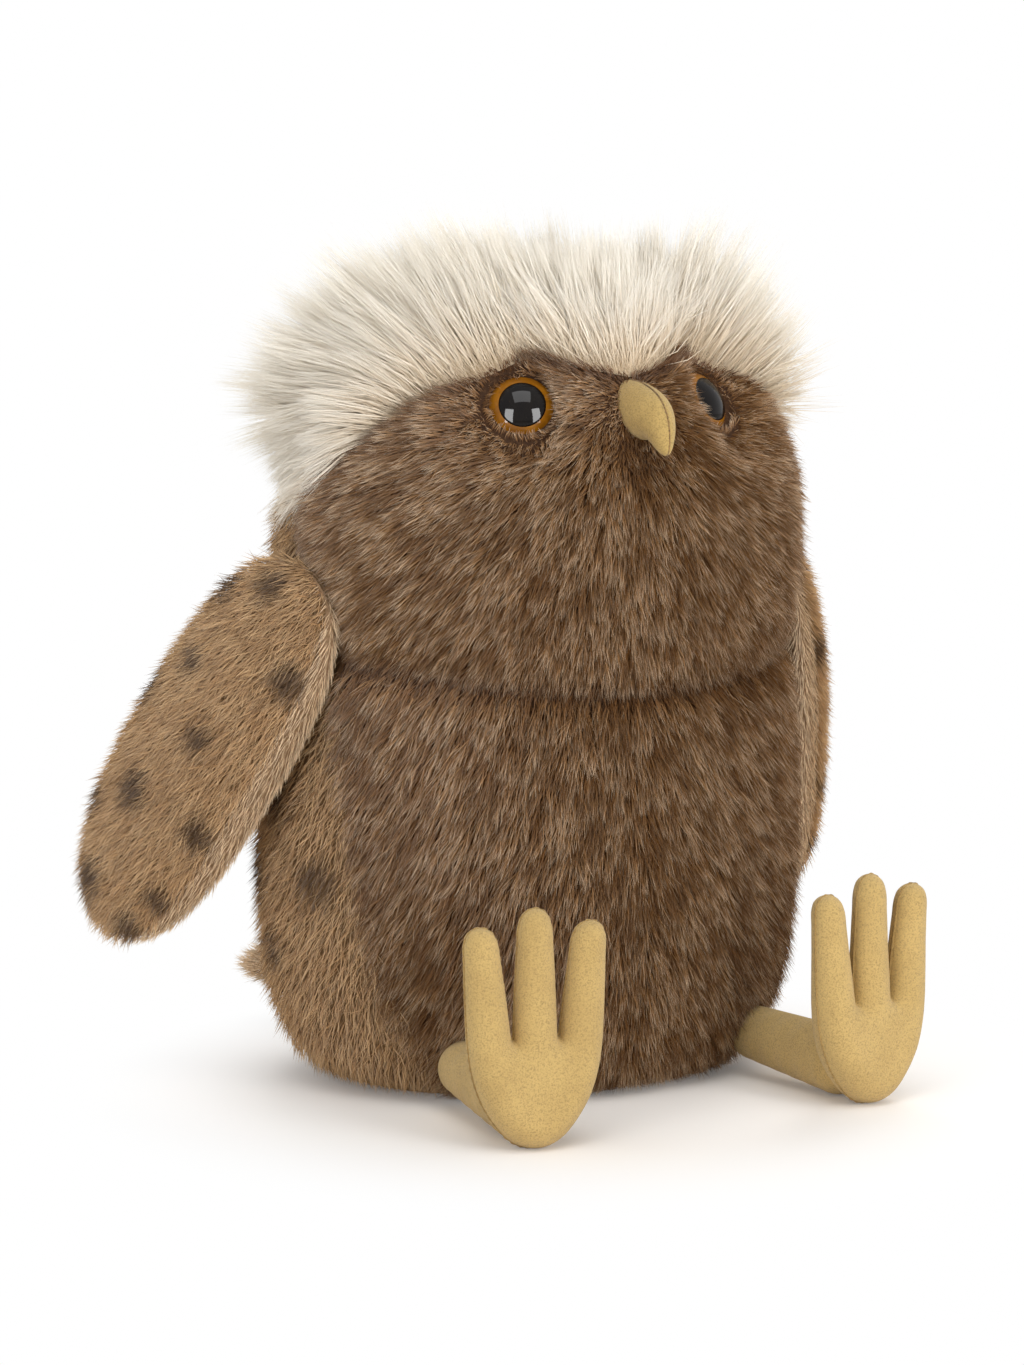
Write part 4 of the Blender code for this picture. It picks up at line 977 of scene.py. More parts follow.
@dataclass
class Torso:
    """Body and head: furred panels, crown and base."""

    form: TorsoForm
    finishes: dict
    skin_depth: float = 0.0018
    skin: float = 0.0022
    eye_pit: float = 0.0005
    fill: float = 0.85
    base_fill: float = 0.7
    spot_count: int = 17
    spot_gap: float = 0.020
    eye_edge: float = 0.0084
    eye_clear: float = 0.0086
    fan_drop: float = 0.010
    beak_root: tuple = (0.0, -0.060, 0.1735)
    parting: tuple = (0.0, -0.062, 0.150)
    crown_rise: float = 0.012
    crown_fall: float = 0.055
    crown_stray: float = 0.011
    tuft_size: float = 0.006
    tuft_key: tuple = (1.0, 17.0, 131.0)
    spot_size: float = 0.0062
    seen_spots: tuple = ((0.0692, -0.0097, 0.1260), (0.0697, -0.0151, 0.0574),
                         (0.0709, 0.0067, 0.0371), (0.0652, -0.0168, 0.1163))
    belly: Pile = Pile(26500, 0.0090, 0.00027, root_lift=42, tip_lift=8, scatter=15, seed=11,
                       wisp=0.0046, wisp_gather=0.25, lock=0.0018, gather=0.42,
                       lift_vary=9, wave=0.0005)
    face: Pile = Pile(27500, 0.0086, 0.00026, root_lift=44, tip_lift=10, scatter=15, seed=21,
                      wisp=0.0044, wisp_gather=0.25, lock=0.0016, gather=0.42,
                      lift_vary=10, wave=0.0005)
    back: Pile = Pile(22500, 0.0066, 0.00027, root_lift=50, tip_lift=20, scatter=26, seed=31,
                      lock=0.0016, gather=0.2, lift_vary=11)
    crown: Pile = Pile(61000, 0.0250, 0.00026, root_lift=62, tip_lift=48, scatter=12, lift_vary=10,
                       spread=0.27, wave=0.0012, lock=0.0015, gather=0.24, wisp=0.0044,
                       wisp_gather=0.76, wisp_power=2.8, droop=0.001, seed=41)

    def build(self) -> None:
        """Build every panel of the torso with its fur."""
        for side in Side:
            self.panel("belly", side, self.belly, "mottled_fur", self.belly_coat)
            self.panel("face", side, self.face, "mottled_fur", self.face_coat)
            self.panel("back", side, self.back, "spotted_fur", self.back_coat)
        self.build_crown()
        self.build_base()

    def patch(self, name: str, side: Side) -> Patch:
        """Give the fine surface of a panel.

        Args:
            name: belly, face or back.
            side: Side of the owl.

        Returns:
            The patch.
        """
        if name == "belly":
            return self.form.region(side.value, "base", "neck", True, 70, 60)
        if name == "face":
            return self.form.region(side.value, "neck", "brow", True, 70, 60)
        return self.form.region(side.value, "base", "brow", False, 110, 70)

    def panel(self, name: str, side: Side, pile: Pile, slot: str, grow: object) -> None:
        """Build a panel's cloth and its fur.

        Args:
            name: Name of the panel.
            side: Side of the owl.
            pile: How its fur grows.
            slot: Material slot of the record.
            grow: Method that combs the fur at each root.
        """
        patch = self.patch(name, side)
        sunk = step(0.0112, 0.0090, self.from_eye(patch.points, side))
        depth = self.skin_depth + self.eye_pit * sunk
        cloth = shell(f"{name}_cloth_{side.word}", patch.inset(depth),
                      patch.inset(depth + self.skin), self.finishes[f"{slot}_backing"])
        declare(cloth, "torso", f"{name}_panel_{side.word}")
        rng = np.random.default_rng(pile.seed + side.value)
        points, normals, shares = patch.scatter(pile.count, rng)
        roots = points - (self.skin_depth + ROOT_DEPTH) * normals
        way = grow(Roots(points, normals, shares, rng, side))
        coat = Coat(pile, roots, normals, way.flow, way.lengths, way.marks_and_shade, way.lifts)
        coat = coat.take(np.broadcast_to(way.keep, len(points)))
        declare(coat.build(f"{name}_fur_{side.word}", self.finishes[slot]), "torso")

    def from_eye(self, points: np.ndarray, side: Side) -> np.ndarray:
        """Measure the distance of points from the axis of an eye: |(point - eye) x axis|."""
        eye = Eye(self.form, side, self.finishes)
        return np.linalg.norm(np.cross(points - eye.place(), eye.direction()), axis=-1)

    def belly_coat(self, roots: Roots) -> Combed:
        """Comb the belly: down, fanning out from the middle seam, with painted shade darkening the
        strands under the neck fold.

        Args:
            roots: Where the fur grows.

        Returns:
            How it is combed there.
        """
        up, out = roots.shares.T
        fan = np.zeros_like(roots.points)
        fan[:, 0] = roots.side.value * (0.10 + 0.75 * out)
        fan[:, 2] = -1
        lengths = 0.72 + 0.28 * step(0, 0.12, up)
        neck = step(0.085, 0.01, 1 - up)
        lengths *= 1 - 0.62 * neck
        outer = step(0.72, 0.98, out)
        # Painted shade: strands under the neck fold take the dark mark colour, standing in for the
        # shadow of the face fur above.
        marks_and_shade = neck * roots.rng.uniform(0.6, 1, len(up))
        marks_and_shade = np.maximum(marks_and_shade, 0.60 * outer * roots.rng.random(len(up)))
        return Combed(upright(roots.normals, fan), lengths, marks_and_shade, lifts=-16 * neck)

    def face_coat(self, roots: Roots) -> Combed:
        """Comb the face: outward from the root of the beak, shorter round eye and beak, with
        painted shade darkening the strands at the neck fold.

        Args:
            roots: Where the fur grows.

        Returns:
            How it is combed there.
        """
        points, normals, rng = roots.points, roots.normals, roots.rng
        up, out = roots.shares.T
        away = points - np.array(self.beak_root)
        away[:, 2] -= self.fan_drop
        flow = upright(normals, away)
        eye = Eye(self.form, roots.side, self.finishes).place()
        off = self.from_eye(points, roots.side)
        beak = np.linalg.norm(points - np.array(self.beak_root), axis=1)
        round_eye = upright(normals, points - eye)
        inner = step(0.3, -0.5, (unit(points - eye) * flow).sum(-1))
        ring = (step(0.017, 0.009, off) * (1 - 0.75 * inner))[:, None]
        hem = step(0.0104, 0.0090, off) * (1 - inner)
        flow = unit(flow * (1 - ring) + round_eye * ring * 1.2 + flow * 0.15)
        flow -= 2.2 * hem[:, None] * round_eye
        short = 0.30 + 0.30 * inner
        lengths = short + (1 - short) * step(0.009, 0.020, off)
        lengths = np.minimum(lengths, 0.30 + 0.70 * step(0.007, 0.024, beak))
        lengths = np.minimum(lengths, 0.26 + 1.05 * (off - self.eye_edge) / self.face.length)
        brow = step(0.940, 0.968, up)
        neck = step(0.09, 0.0, up)
        outer = step(0.86, 0.99, out)
        flow[:, 2] -= 0.9 * outer
        lengths *= (1 - 0.30 * brow) * (1 - 0.18 * neck) * (1 - 0.50 * outer)
        rim = step(0.0130, 0.0092, off)
        marks_and_shade = brow * rng.uniform(0.6, 1, len(points))
        marks_and_shade = np.maximum(marks_and_shade, 0.75 * outer * rng.random(len(points)))
        # Painted shade: strands next to the neck fold are darkened with the mark colour, standing
        # in for the fold's shadow.
        marks_and_shade = np.maximum(marks_and_shade, neck * rng.uniform(0.2, 0.7, len(points)))
        lifts = 14 * brow + 8 * neck + (8 + 18 * inner) * rim + 16 * hem
        return Combed(flow, lengths, marks_and_shade, off > self.eye_clear, lifts)

    def back_coat(self, roots: Roots) -> Combed:
        """Comb the back: down, with soft dark spots.

        Args:
            roots: Where the fur grows.

        Returns:
            How it is combed there.
        """
        down = np.zeros_like(roots.points)
        down[:, 2] = -1
        spots = self.back_spots(roots.side)
        marks_and_shade = spot_marks(roots.points, spots, self.spot_size, roots.rng)
        lengths = 0.75 + 0.25 * step(0, 0.08, roots.shares[:, 0])
        return Combed(upright(roots.normals, down), lengths, marks_and_shade)

    def back_spots(self, side: Side) -> np.ndarray:
        """Lay spots over the back: golden-ratio places by angle and height."""
        number = np.arange(self.spot_count)
        angle = np.radians(80 + 96 * ((number * GOLDEN + 0.2) % 1))
        height = 0.016 + 0.120 * (number + 0.5) / len(number)
        placed = self.form.plain(side.value * angle, self.form.level_at(height))
        seen = np.array(self.seen_spots) * np.array([side.value, 1, 1])
        apart = np.linalg.norm(placed[:, None] - seen[None], axis=-1).min(1)
        return np.concatenate([placed[apart > self.spot_gap], seen])

    def build_crown(self) -> None:
        """Build the crown's cloth and its long pile, swept up and outward from the brow."""
        patch = self.form.crown(60, 150)
        cloth = shell("crown_cloth", patch.inset(self.skin_depth)[:, :-1],
                      patch.inset(self.skin_depth + self.skin)[:, :-1],
                      self.finishes["white_pile_backing"], wrap=True)
        tidy_mesh(cloth.data, 0.0001)
        declare(cloth, "torso", "crown_panel")
        rng = np.random.default_rng(self.crown.seed)
        points, normals, shares = patch.scatter(self.crown.count, rng)
        roots = points - (self.skin_depth + ROOT_DEPTH) * normals
        up, round_share = shares.T
        angle = (round_share * 2 - 1) * math.pi
        turned = np.degrees(np.abs(angle))
        front = step(48, 20, turned) * step(0.5, 0.0, up)
        flank = step(30, 55, turned) * step(115, 90, turned) * step(0.9, 0.5, up)
        rear = np.maximum(step(82, 130, turned) * step(1.0, 0.12, up),
                          step(58, 84, turned) * step(0.34, 0.10, up))
        full = step(88, 116, turned) * step(0.04, 0.26, up)
        top = step(0.45, 0.85, up) * (1 - full)
        flow = points - np.array(self.parting)
        flow[:, 2] = np.maximum(flow[:, 2], self.crown_rise * (1 - rear))
        flow[:, 2] -= self.crown_fall * rear
        flow += self.crown_stray * rng.standard_normal((len(points), 3))
        lifts = 8 * flank - 20 * front - 46 * (1 - full) * rear - 8 * top + 6 * full
        tuft = np.floor(points / self.tuft_size) @ np.array(self.tuft_key) * GOLDEN % 1
        lengths = (0.84 + 0.16 * step(0.0, 0.25, up)) * (0.92 + 0.18 * tuft**3)
        lengths *= (1 - 0.42 * top) * (1 - 0.52 * (1 - full) * rear) * (1 + 0.34 * flank)
        lengths *= 1 + 0.14 * full
        marks_and_shade = 0.4 * step(0.08, 0.0, up) * rng.random(len(points))
        coat = Coat(self.crown, roots, normals, upright(normals, flow), lengths, marks_and_shade, lifts)
        third = np.floor(((angle / math.pi + 1) / 2 * 3)).astype(int)
        for number, word in enumerate(("right", "front", "left")):
            part = coat.take(third == number)
            fur = part.build(f"crown_pile_{word}", self.finishes["white_pile"])
            declare(fur, "torso")

    def build_base(self) -> None:
        """Build the flat base cloth: rings of the base line drawn in to its middle."""
        angle = np.linspace(0, 2 * math.pi, 97)[:-1][None]
        rim = self.form.plain(angle, np.full_like(angle, 0.006))[0]
        share = np.linspace(1, 0.02, 14)[:, None, None]
        grid = rim[None] * share
        grid[..., 2] = 0.0001
        upper = grid + np.array([0, 0, self.skin])
        cloth = shell("base_cloth", grid, upper, self.finishes["spotted_fur_backing"], wrap=True)
        declare(cloth, "torso", "base_panel")


def spot_marks(points: np.ndarray, spots: np.ndarray, size: float,
               rng: np.random.Generator) -> np.ndarray:
    """Shade soft spots: a ramp on the distance to the nearest spot, ragged strand by strand.

    Args:
        points: Roots.
        spots: Centres of the spots.
        size: Radius of a spot.
        rng: Seeded random source.

    Returns:
        The share of the mark colour at each root.
    """
    own = nearest(points, spots)
    away = np.linalg.norm(points - spots[own], axis=1)
    spread = size * (0.75 + 0.5 * ((own * GOLDEN) % 1))
    edge = away / spread + 0.26 * rng.standard_normal(len(points))
    return 0.92 * step(1.30, 0.50, edge)


@dataclass(frozen=True)
class PillowForm:
    """A flat stuffed form: the middle line plus width cos turn and thickness sin turn."""

    length: float
    half_width: float
    half_thickness: float
    widths: tuple
    thicknesses: tuple
    place: tuple
    axes: tuple

    def grid(self, start: float, end: float, rows: int, columns: int) -> np.ndarray:
        """Give a grid of points between two turns round the form.

        Args:
            start: First turn, in radians.
            end: Last turn.
            rows: Rows along the form.
            columns: Columns across it.

        Returns:
            The grid.
        """
        part = (1 - np.cos(np.linspace(0, math.pi, rows))) / 2
        turn = np.linspace(start, end, columns)
        along, across, out = (np.array(axis) for axis in self.axes)
        middle = np.array(self.place) + self.length * part[:, None] * along
        wide = self.half_width * rounded(self.widths, part)[:, None] * np.cos(turn)
        thick = self.half_thickness * rounded(self.thicknesses, part)[:, None] * np.sin(turn)
        return middle[:, None] + wide[..., None] * across + thick[..., None] * out


@dataclass
class Wing:
    """A wing: a spotted outer panel and a plain inner one, both furred."""

    form: TorsoForm
    side: Side
    finishes: dict
    root_angle: float = 76.0
    height_share: float = 0.356
    length: float = 0.1130
    half_width: float = 0.0240
    half_thickness: float = 0.0090
    tilt: float = 20.8
    opened: float = 22.5
    sweep: float = 52.5
    setback: float = 0.0082
    advance: float = 0.0060
    roll: float = 34.0
    seat: float = 0.034
    flank_gap: float = 0.0006
    seat_clear: float = 0.0012
    seat_move: float = 0.0004
    spot_size: float = 0.0046
    skin_depth: float = 0.0010
    skin: float = 0.0012
    fill: float = 0.7
    widths: tuple = ((0.0, 0.0), (0.05, 0.55), (0.15, 0.82), (0.32, 0.97), (0.52, 1.0),
                     (0.70, 0.97), (0.85, 0.82), (0.95, 0.54), (1.0, 0.0))
    thicknesses: tuple = (
        (0.0, 0.0), (0.08, 0.55), (0.35, 1.0), (0.70, 0.90), (0.92, 0.50), (1.0, 0.0),
    )
    spots: tuple = ((0.38, 0.63), (0.30, 0.10), (0.456, 0.367), (0.595, 0.53), (0.57, 0.12),
                    (0.709, 0.105), (0.835, 0.12), (0.177, 0.55), (0.48, 0.90), (0.26, 0.86),
                    (0.68, 0.80), (0.80, 0.60), (0.89, 0.80))
    outer: Pile = Pile(16500, 0.0056, 0.00026, root_lift=46, tip_lift=17, scatter=26, seed=51,
                       lock=0.0016, gather=0.2, lift_vary=11)
    inner: Pile = Pile(8000, 0.0044, 0.00025, root_lift=30, tip_lift=6, scatter=9, seed=61,
                       lock=0.0014, gather=0.3, lift_vary=6)

    def axes(self) -> tuple[np.ndarray, ...]:
        """Give the directions along, across and out of the wing, and its setback direction."""
        tilt, sweep, opened = (math.radians(a) for a in (self.tilt, self.sweep, self.opened))
        outward = np.array([self.side.value, 0, 0])
        seam = np.array([0, math.sin(tilt), math.cos(tilt)])
        behind = np.array([0, math.cos(tilt), -math.sin(tilt)])
        off = math.cos(opened) * behind + math.sin(opened) * outward
        face = math.cos(opened) * outward - math.sin(opened) * behind
        along = math.sin(sweep) * off - math.cos(sweep) * seam
        across = -math.cos(sweep) * off - math.sin(sweep) * seam
        return along, across, face, off

    def pillow(self) -> PillowForm:
        """Give the form of the wing, hung from its root on the torso."""
        along, across, face, off = self.axes()
        root = self.form.neck_height + self.height_share * self.form.head_height
        level = self.form.level_at(root - self.seat / 2)
        edge = self.form.point(np.array(math.radians(self.root_angle)), level)
        pivot = np.array([self.side.value * edge[0], edge[1], root])
        place = pivot + off * self.setback + across * self.advance
        return PillowForm(self.length, self.half_width, self.half_thickness, self.widths,
                          self.thicknesses, tuple(place), (along, across, face))

    def build(self) -> None:
        """Build both panels with their fur."""
        pillow = self.pillow()
        roll = math.radians(self.roll)
        outer = pillow.grid(roll, math.pi, 80, 50)
        inner = pillow.grid(roll, -math.pi, 80, 60)
        outer = Patch(outer, out=pillow.axes[2])
        inner = Patch(self.form.push_out(inner, self.flank_gap), out=-pillow.axes[2])
        spots = outer.points[tuple(np.array([(int(79 * s), int(49 * t)) for s, t in self.spots]).T)]
        self.panel("outer", outer, self.outer, "spotted_fur", spots)
        self.panel("inner", inner, self.inner, "beige_fur", None)

    def panel(
        self, layer: str, patch: Patch, pile: Pile, slot: str, spots: np.ndarray | None
    ) -> None:
        """Build one panel's cloth and fur.

        Args:
            layer: outer or inner.
            patch: Its surface.
            pile: How its fur grows.
            slot: Material slot of the record.
            spots: Centres of dark spots, or None.
        """
        word = self.side.word
        near = self.form.push_out(patch.inset(self.skin_depth), self.flank_gap)
        deep = self.form.push_out(patch.inset(self.skin_depth + self.skin), self.flank_gap)
        cloth = shell(f"wing_{layer}_cloth_{word}", near, deep, self.finishes[f"{slot}_backing"])
        declare(cloth, f"wing_{word}", f"wing_{layer}_{word}")
        rng = np.random.default_rng(pile.seed + self.side.value)
        points, normals, shares = patch.scatter(pile.count, rng)
        roots = points - (self.skin_depth + ROOT_DEPTH) * normals
        along = np.array(self.axes()[0])
        flow = upright(normals, np.broadcast_to(along, points.shape))
        marks_and_shade = np.zeros(len(points))
        if spots is not None:
            marks_and_shade = spot_marks(points, spots, self.spot_size, rng)
        moved = self.form.push_out(points, self.seat_clear) - points
        keep = np.linalg.norm(moved, axis=1) < self.seat_move
        lengths = 0.7 + 0.3 * step(0, 0.1, shares[:, 0])
        coat = Coat(pile, roots, normals, flow, lengths, marks_and_shade).take(keep)
        fur = coat.build(f"wing_{layer}_fur_{word}", self.finishes[slot])
        declare(fur, f"wing_{word}")


@dataclass
class Tail:
    """The short tail: an upper and an under panel of short fur."""

    form: TorsoForm
    finishes: dict
    height: float = 0.0125
    length: float = 0.051
    half_width: float = 0.034
    half_thickness: float = 0.0085
    skin_depth: float = 0.0010
    skin: float = 0.0012
    fill: float = 0.7
    widths: tuple = ((0.0, 0.0), (0.05, 0.36), (0.25, 0.56), (0.55, 0.84), (0.80, 1.0),
                     (0.94, 0.82), (1.0, 0.0))
    thicknesses: tuple = (
        (0.0, 0.0), (0.08, 0.62), (0.40, 1.0), (0.80, 0.80), (0.95, 0.50), (1.0, 0.0),
    )
    pile: Pile = Pile(6000, 0.0060, 0.00028, root_lift=52, tip_lift=16, scatter=14, seed=71,
                      lock=0.0017, gather=0.4)

    def build(self) -> None:
        """Build both panels with their fur."""
        back = self.form.point(np.array(math.pi), self.form.level_at(self.height))
        place = (0.0, float(back[1]) + 0.0003, self.height)
        pillow = PillowForm(self.length, self.half_width, self.half_thickness, self.widths,
                            self.thicknesses, place, ((0, 1, 0), (1, 0, 0), (0, 0, 1)))
        backing = self.finishes["beige_fur_backing"]
        for word, way in (("upper", 1), ("under", -1)):
            patch = Patch(pillow.grid(0, way * math.pi, 60, 40), out=np.array([0, 0, way]))
            cloth = shell(f"tail_{word}_cloth", patch.inset(self.skin_depth),
                          patch.inset(self.skin_depth + self.skin), backing)
            declare(cloth, "tail", f"tail_{word}")
            rng = np.random.default_rng(self.pile.seed + way)
            points, normals, _ = patch.scatter(self.pile.count, rng)
            roots = points - (self.skin_depth + ROOT_DEPTH) * normals
            away = points - np.array([0, place[1] - 0.02, self.height])
            coat = Coat(self.pile, roots, normals, upright(normals, away),
                        np.ones(len(points)), np.zeros(len(points)))
            fur = coat.build(f"tail_{word}_fur", self.finishes["beige_fur"])
            declare(fur, "tail")


@dataclass
class Eye:
    """An eye: an amber ring and a black pupil, both turned about the same axis."""

    form: TorsoForm
    side: Side
    finishes: dict
    turn: float = 26.0
    tilt: float = 25.0
    sink: float = 0.0025
    radius: float = 0.0084
    edge: float = 0.0012
    dome: float = 0.0052
    pupil: float = 0.0058
    seat: float = 0.0010
    shank: float = 0.0023
    shank_length: float = 0.0125
    seat_gap: float = 0.0003
    pupil_gap: float = 0.00004

    def direction(self) -> np.ndarray:
        """Give the direction in which the eye looks."""
        turn, tilt = math.radians(self.side.value * self.turn), math.radians(self.tilt)
        return np.array([math.sin(turn) * math.cos(tilt), -math.cos(turn) * math.cos(tilt),
                         math.sin(tilt)])

    def place(self) -> np.ndarray:
        """Place the eye in its socket, as the solids have it."""
        angle = np.array(math.radians(self.side.value * self.form.eye_angle))
        surface = self.form.point(angle, self.form.head_level(self.form.eye_share))
        return surface - self.direction() * self.sink

    def turned(self, name: str, profile: np.ndarray, finish: bpy.types.Material,
               around: int = 64) -> bpy.types.Object:
        """Turn a profile of radius and height about the eye's axis.

        Args:
            name: Name of the piece.
            profile: Rows of radius and height, in order round the section.
            finish: Material.
            around: Points in a ring.

        Returns:
            The piece: point = place + height axis + radius (cos turn side + sin turn up).
        """
        axis = self.direction()
        ring = ring_about(axis, np.linspace(0, 2 * math.pi, around + 1)[:-1])
        reach, height = profile[:, 0, None, None], profile[:, 1, None, None]
        grid = self.place() + height * axis + reach * ring[None]
        rows = len(profile)
        index = np.arange(rows * around).reshape(rows, around)
        if profile[0, 0] > 0:
            index = np.concatenate([index, index[:1]])
        mesh = bpy.data.meshes.new(name)
        mesh.from_pydata(grid.reshape(-1, 3).tolist(), [], quads(index, True).tolist())
        tidy_mesh(mesh)
        mesh.set_sharp_from_angle(angle=math.radians(60))
        return new_object(name, mesh, finish)

    def on_dome(self, radius: np.ndarray) -> np.ndarray:
        """Give rows of radius and height on the dome: a sphere through its edge and its top."""
        rise = self.dome - self.edge
        ball = (self.radius**2 + rise**2) / (2 * rise)
        return np.stack([radius, self.dome - ball + np.sqrt(ball**2 - radius**2)], -1)

    def build(self) -> None:
        """Build the ring and the pupil."""
        word = self.side.word
        bore = self.shank + self.seat_gap
        inner = self.pupil + self.pupil_gap
        low = np.array([(bore, 0.0), (self.radius - 0.0002, 0.0), (self.radius, 0.0002),
                        (self.radius, self.edge - 0.0004),
                        (self.radius - 0.00012, self.edge - 0.0001)])
        rim = self.on_dome(np.linspace(self.radius - 0.0003, inner, 12))
        rise = np.array([(inner, self.seat), (bore, self.seat)])
        ring = self.turned(f"eye_ring_{word}_moulding", np.concatenate([low, rim, rise]),
                           self.finishes["amber_plastic"])
        cap = self.on_dome(np.linspace(self.pupil, 0, 16))
        foot = np.array([(0.0, -self.shank_length), (self.shank, -self.shank_length),
                         (self.shank, self.seat + self.seat_gap),
                         (self.pupil, self.seat + self.seat_gap)])
        pupil = self.turned(f"eye_pupil_{word}_moulding", np.concatenate([foot, cap]),
                            self.finishes["black_plastic"])
        declare(ring, "torso", f"eye_ring_{word}")
        declare(pupil, "torso", f"eye_pupil_{word}")


@dataclass
class Beak:
    """The beak: two suede flanks round a hooked spine, with a ridge seam."""

    form: TorsoForm
    finishes: dict
    share: float = 0.733
    sink: float = 0.0122
    reach: float = 0.0230
    drop: float = 0.0106
    half_height: float = 0.0069
    half_width: float = 0.0057
    places: tuple = (0.0, 0.40, 0.75, 1.0)
    forwards: tuple = (0.0, 0.45, 0.82, 1.0)
    drops: tuple = (0.0, 0.04, 0.33, 1.0)
    seam_radius: float = 0.00026
    girths: tuple = ((0.0, 0.0), (0.05, 0.80), (0.30, 1.0), (0.60, 0.90), (0.82, 0.60),
                     (0.95, 0.30), (1.0, 0.0))

    def spine(self, part: np.ndarray) -> tuple[np.ndarray, np.ndarray]:
        """Give the middle line and the way up the flank: forward and drop by smooth shares."""
        base = self.form.plain(np.array(0.0), self.form.head_level(self.share))
        place = base + np.array([0, self.sink, 0])

        def line(share: np.ndarray) -> np.ndarray:
            """Read the middle line at a share of its length."""
            forward = smooth(self.places, self.forwards, share) * self.reach
            drop = smooth(self.places, self.drops, share) * self.drop
            return place + np.stack([0 * forward, -forward, -drop], -1)

        later = np.minimum(part + 0.001, 1)
        run = line(later) - line(later - 0.002)
        upward = np.stack([0 * part, run[:, 2], -run[:, 1]], -1)
        return line(part), unit(upward)

    def build(self) -> None:
        """Build both flanks and the ridge."""
        part = (1 - np.cos(np.linspace(0, math.pi, 48))) / 2
        middle, upward = self.spine(part)
        girth = rounded(self.girths, part)
        for side in Side:
            turn = np.linspace(math.pi / 2, -math.pi / 2, 30)
            out = np.array([side.value, 0, 0])

            def grid(depth: float) -> np.ndarray:
                """Give the flank at a depth under its face."""
                high = (self.half_height - depth) * girth[:, None] * np.sin(turn)
                wide = (self.half_width - depth) * girth[:, None] * np.cos(turn)
                return middle[:, None] + high[..., None] * upward[:, None] + wide[..., None] * out

            flank = shell(f"beak_flank_{side.word}_suede", grid(0) + out * SUEDE_GAP,
                          grid(SUEDE_SKIN) + out * SUEDE_GAP, self.finishes["beak_suede"])
            declare(flank, "torso", f"beak_flank_{side.word}")
        ridge = middle + (self.half_height * girth)[:, None] * upward
        ridge = ridge[6:-1]
        swell = np.sin(math.pi * np.linspace(0.1, 0.95, len(ridge)))
        radius = self.seam_radius * (0.4 + 0.6 * swell)
        seam = tube("beak_ridge_seam", ridge, radius, self.finishes["seam_dark"], up=(1, 0, 0))
        declare(seam, "torso")


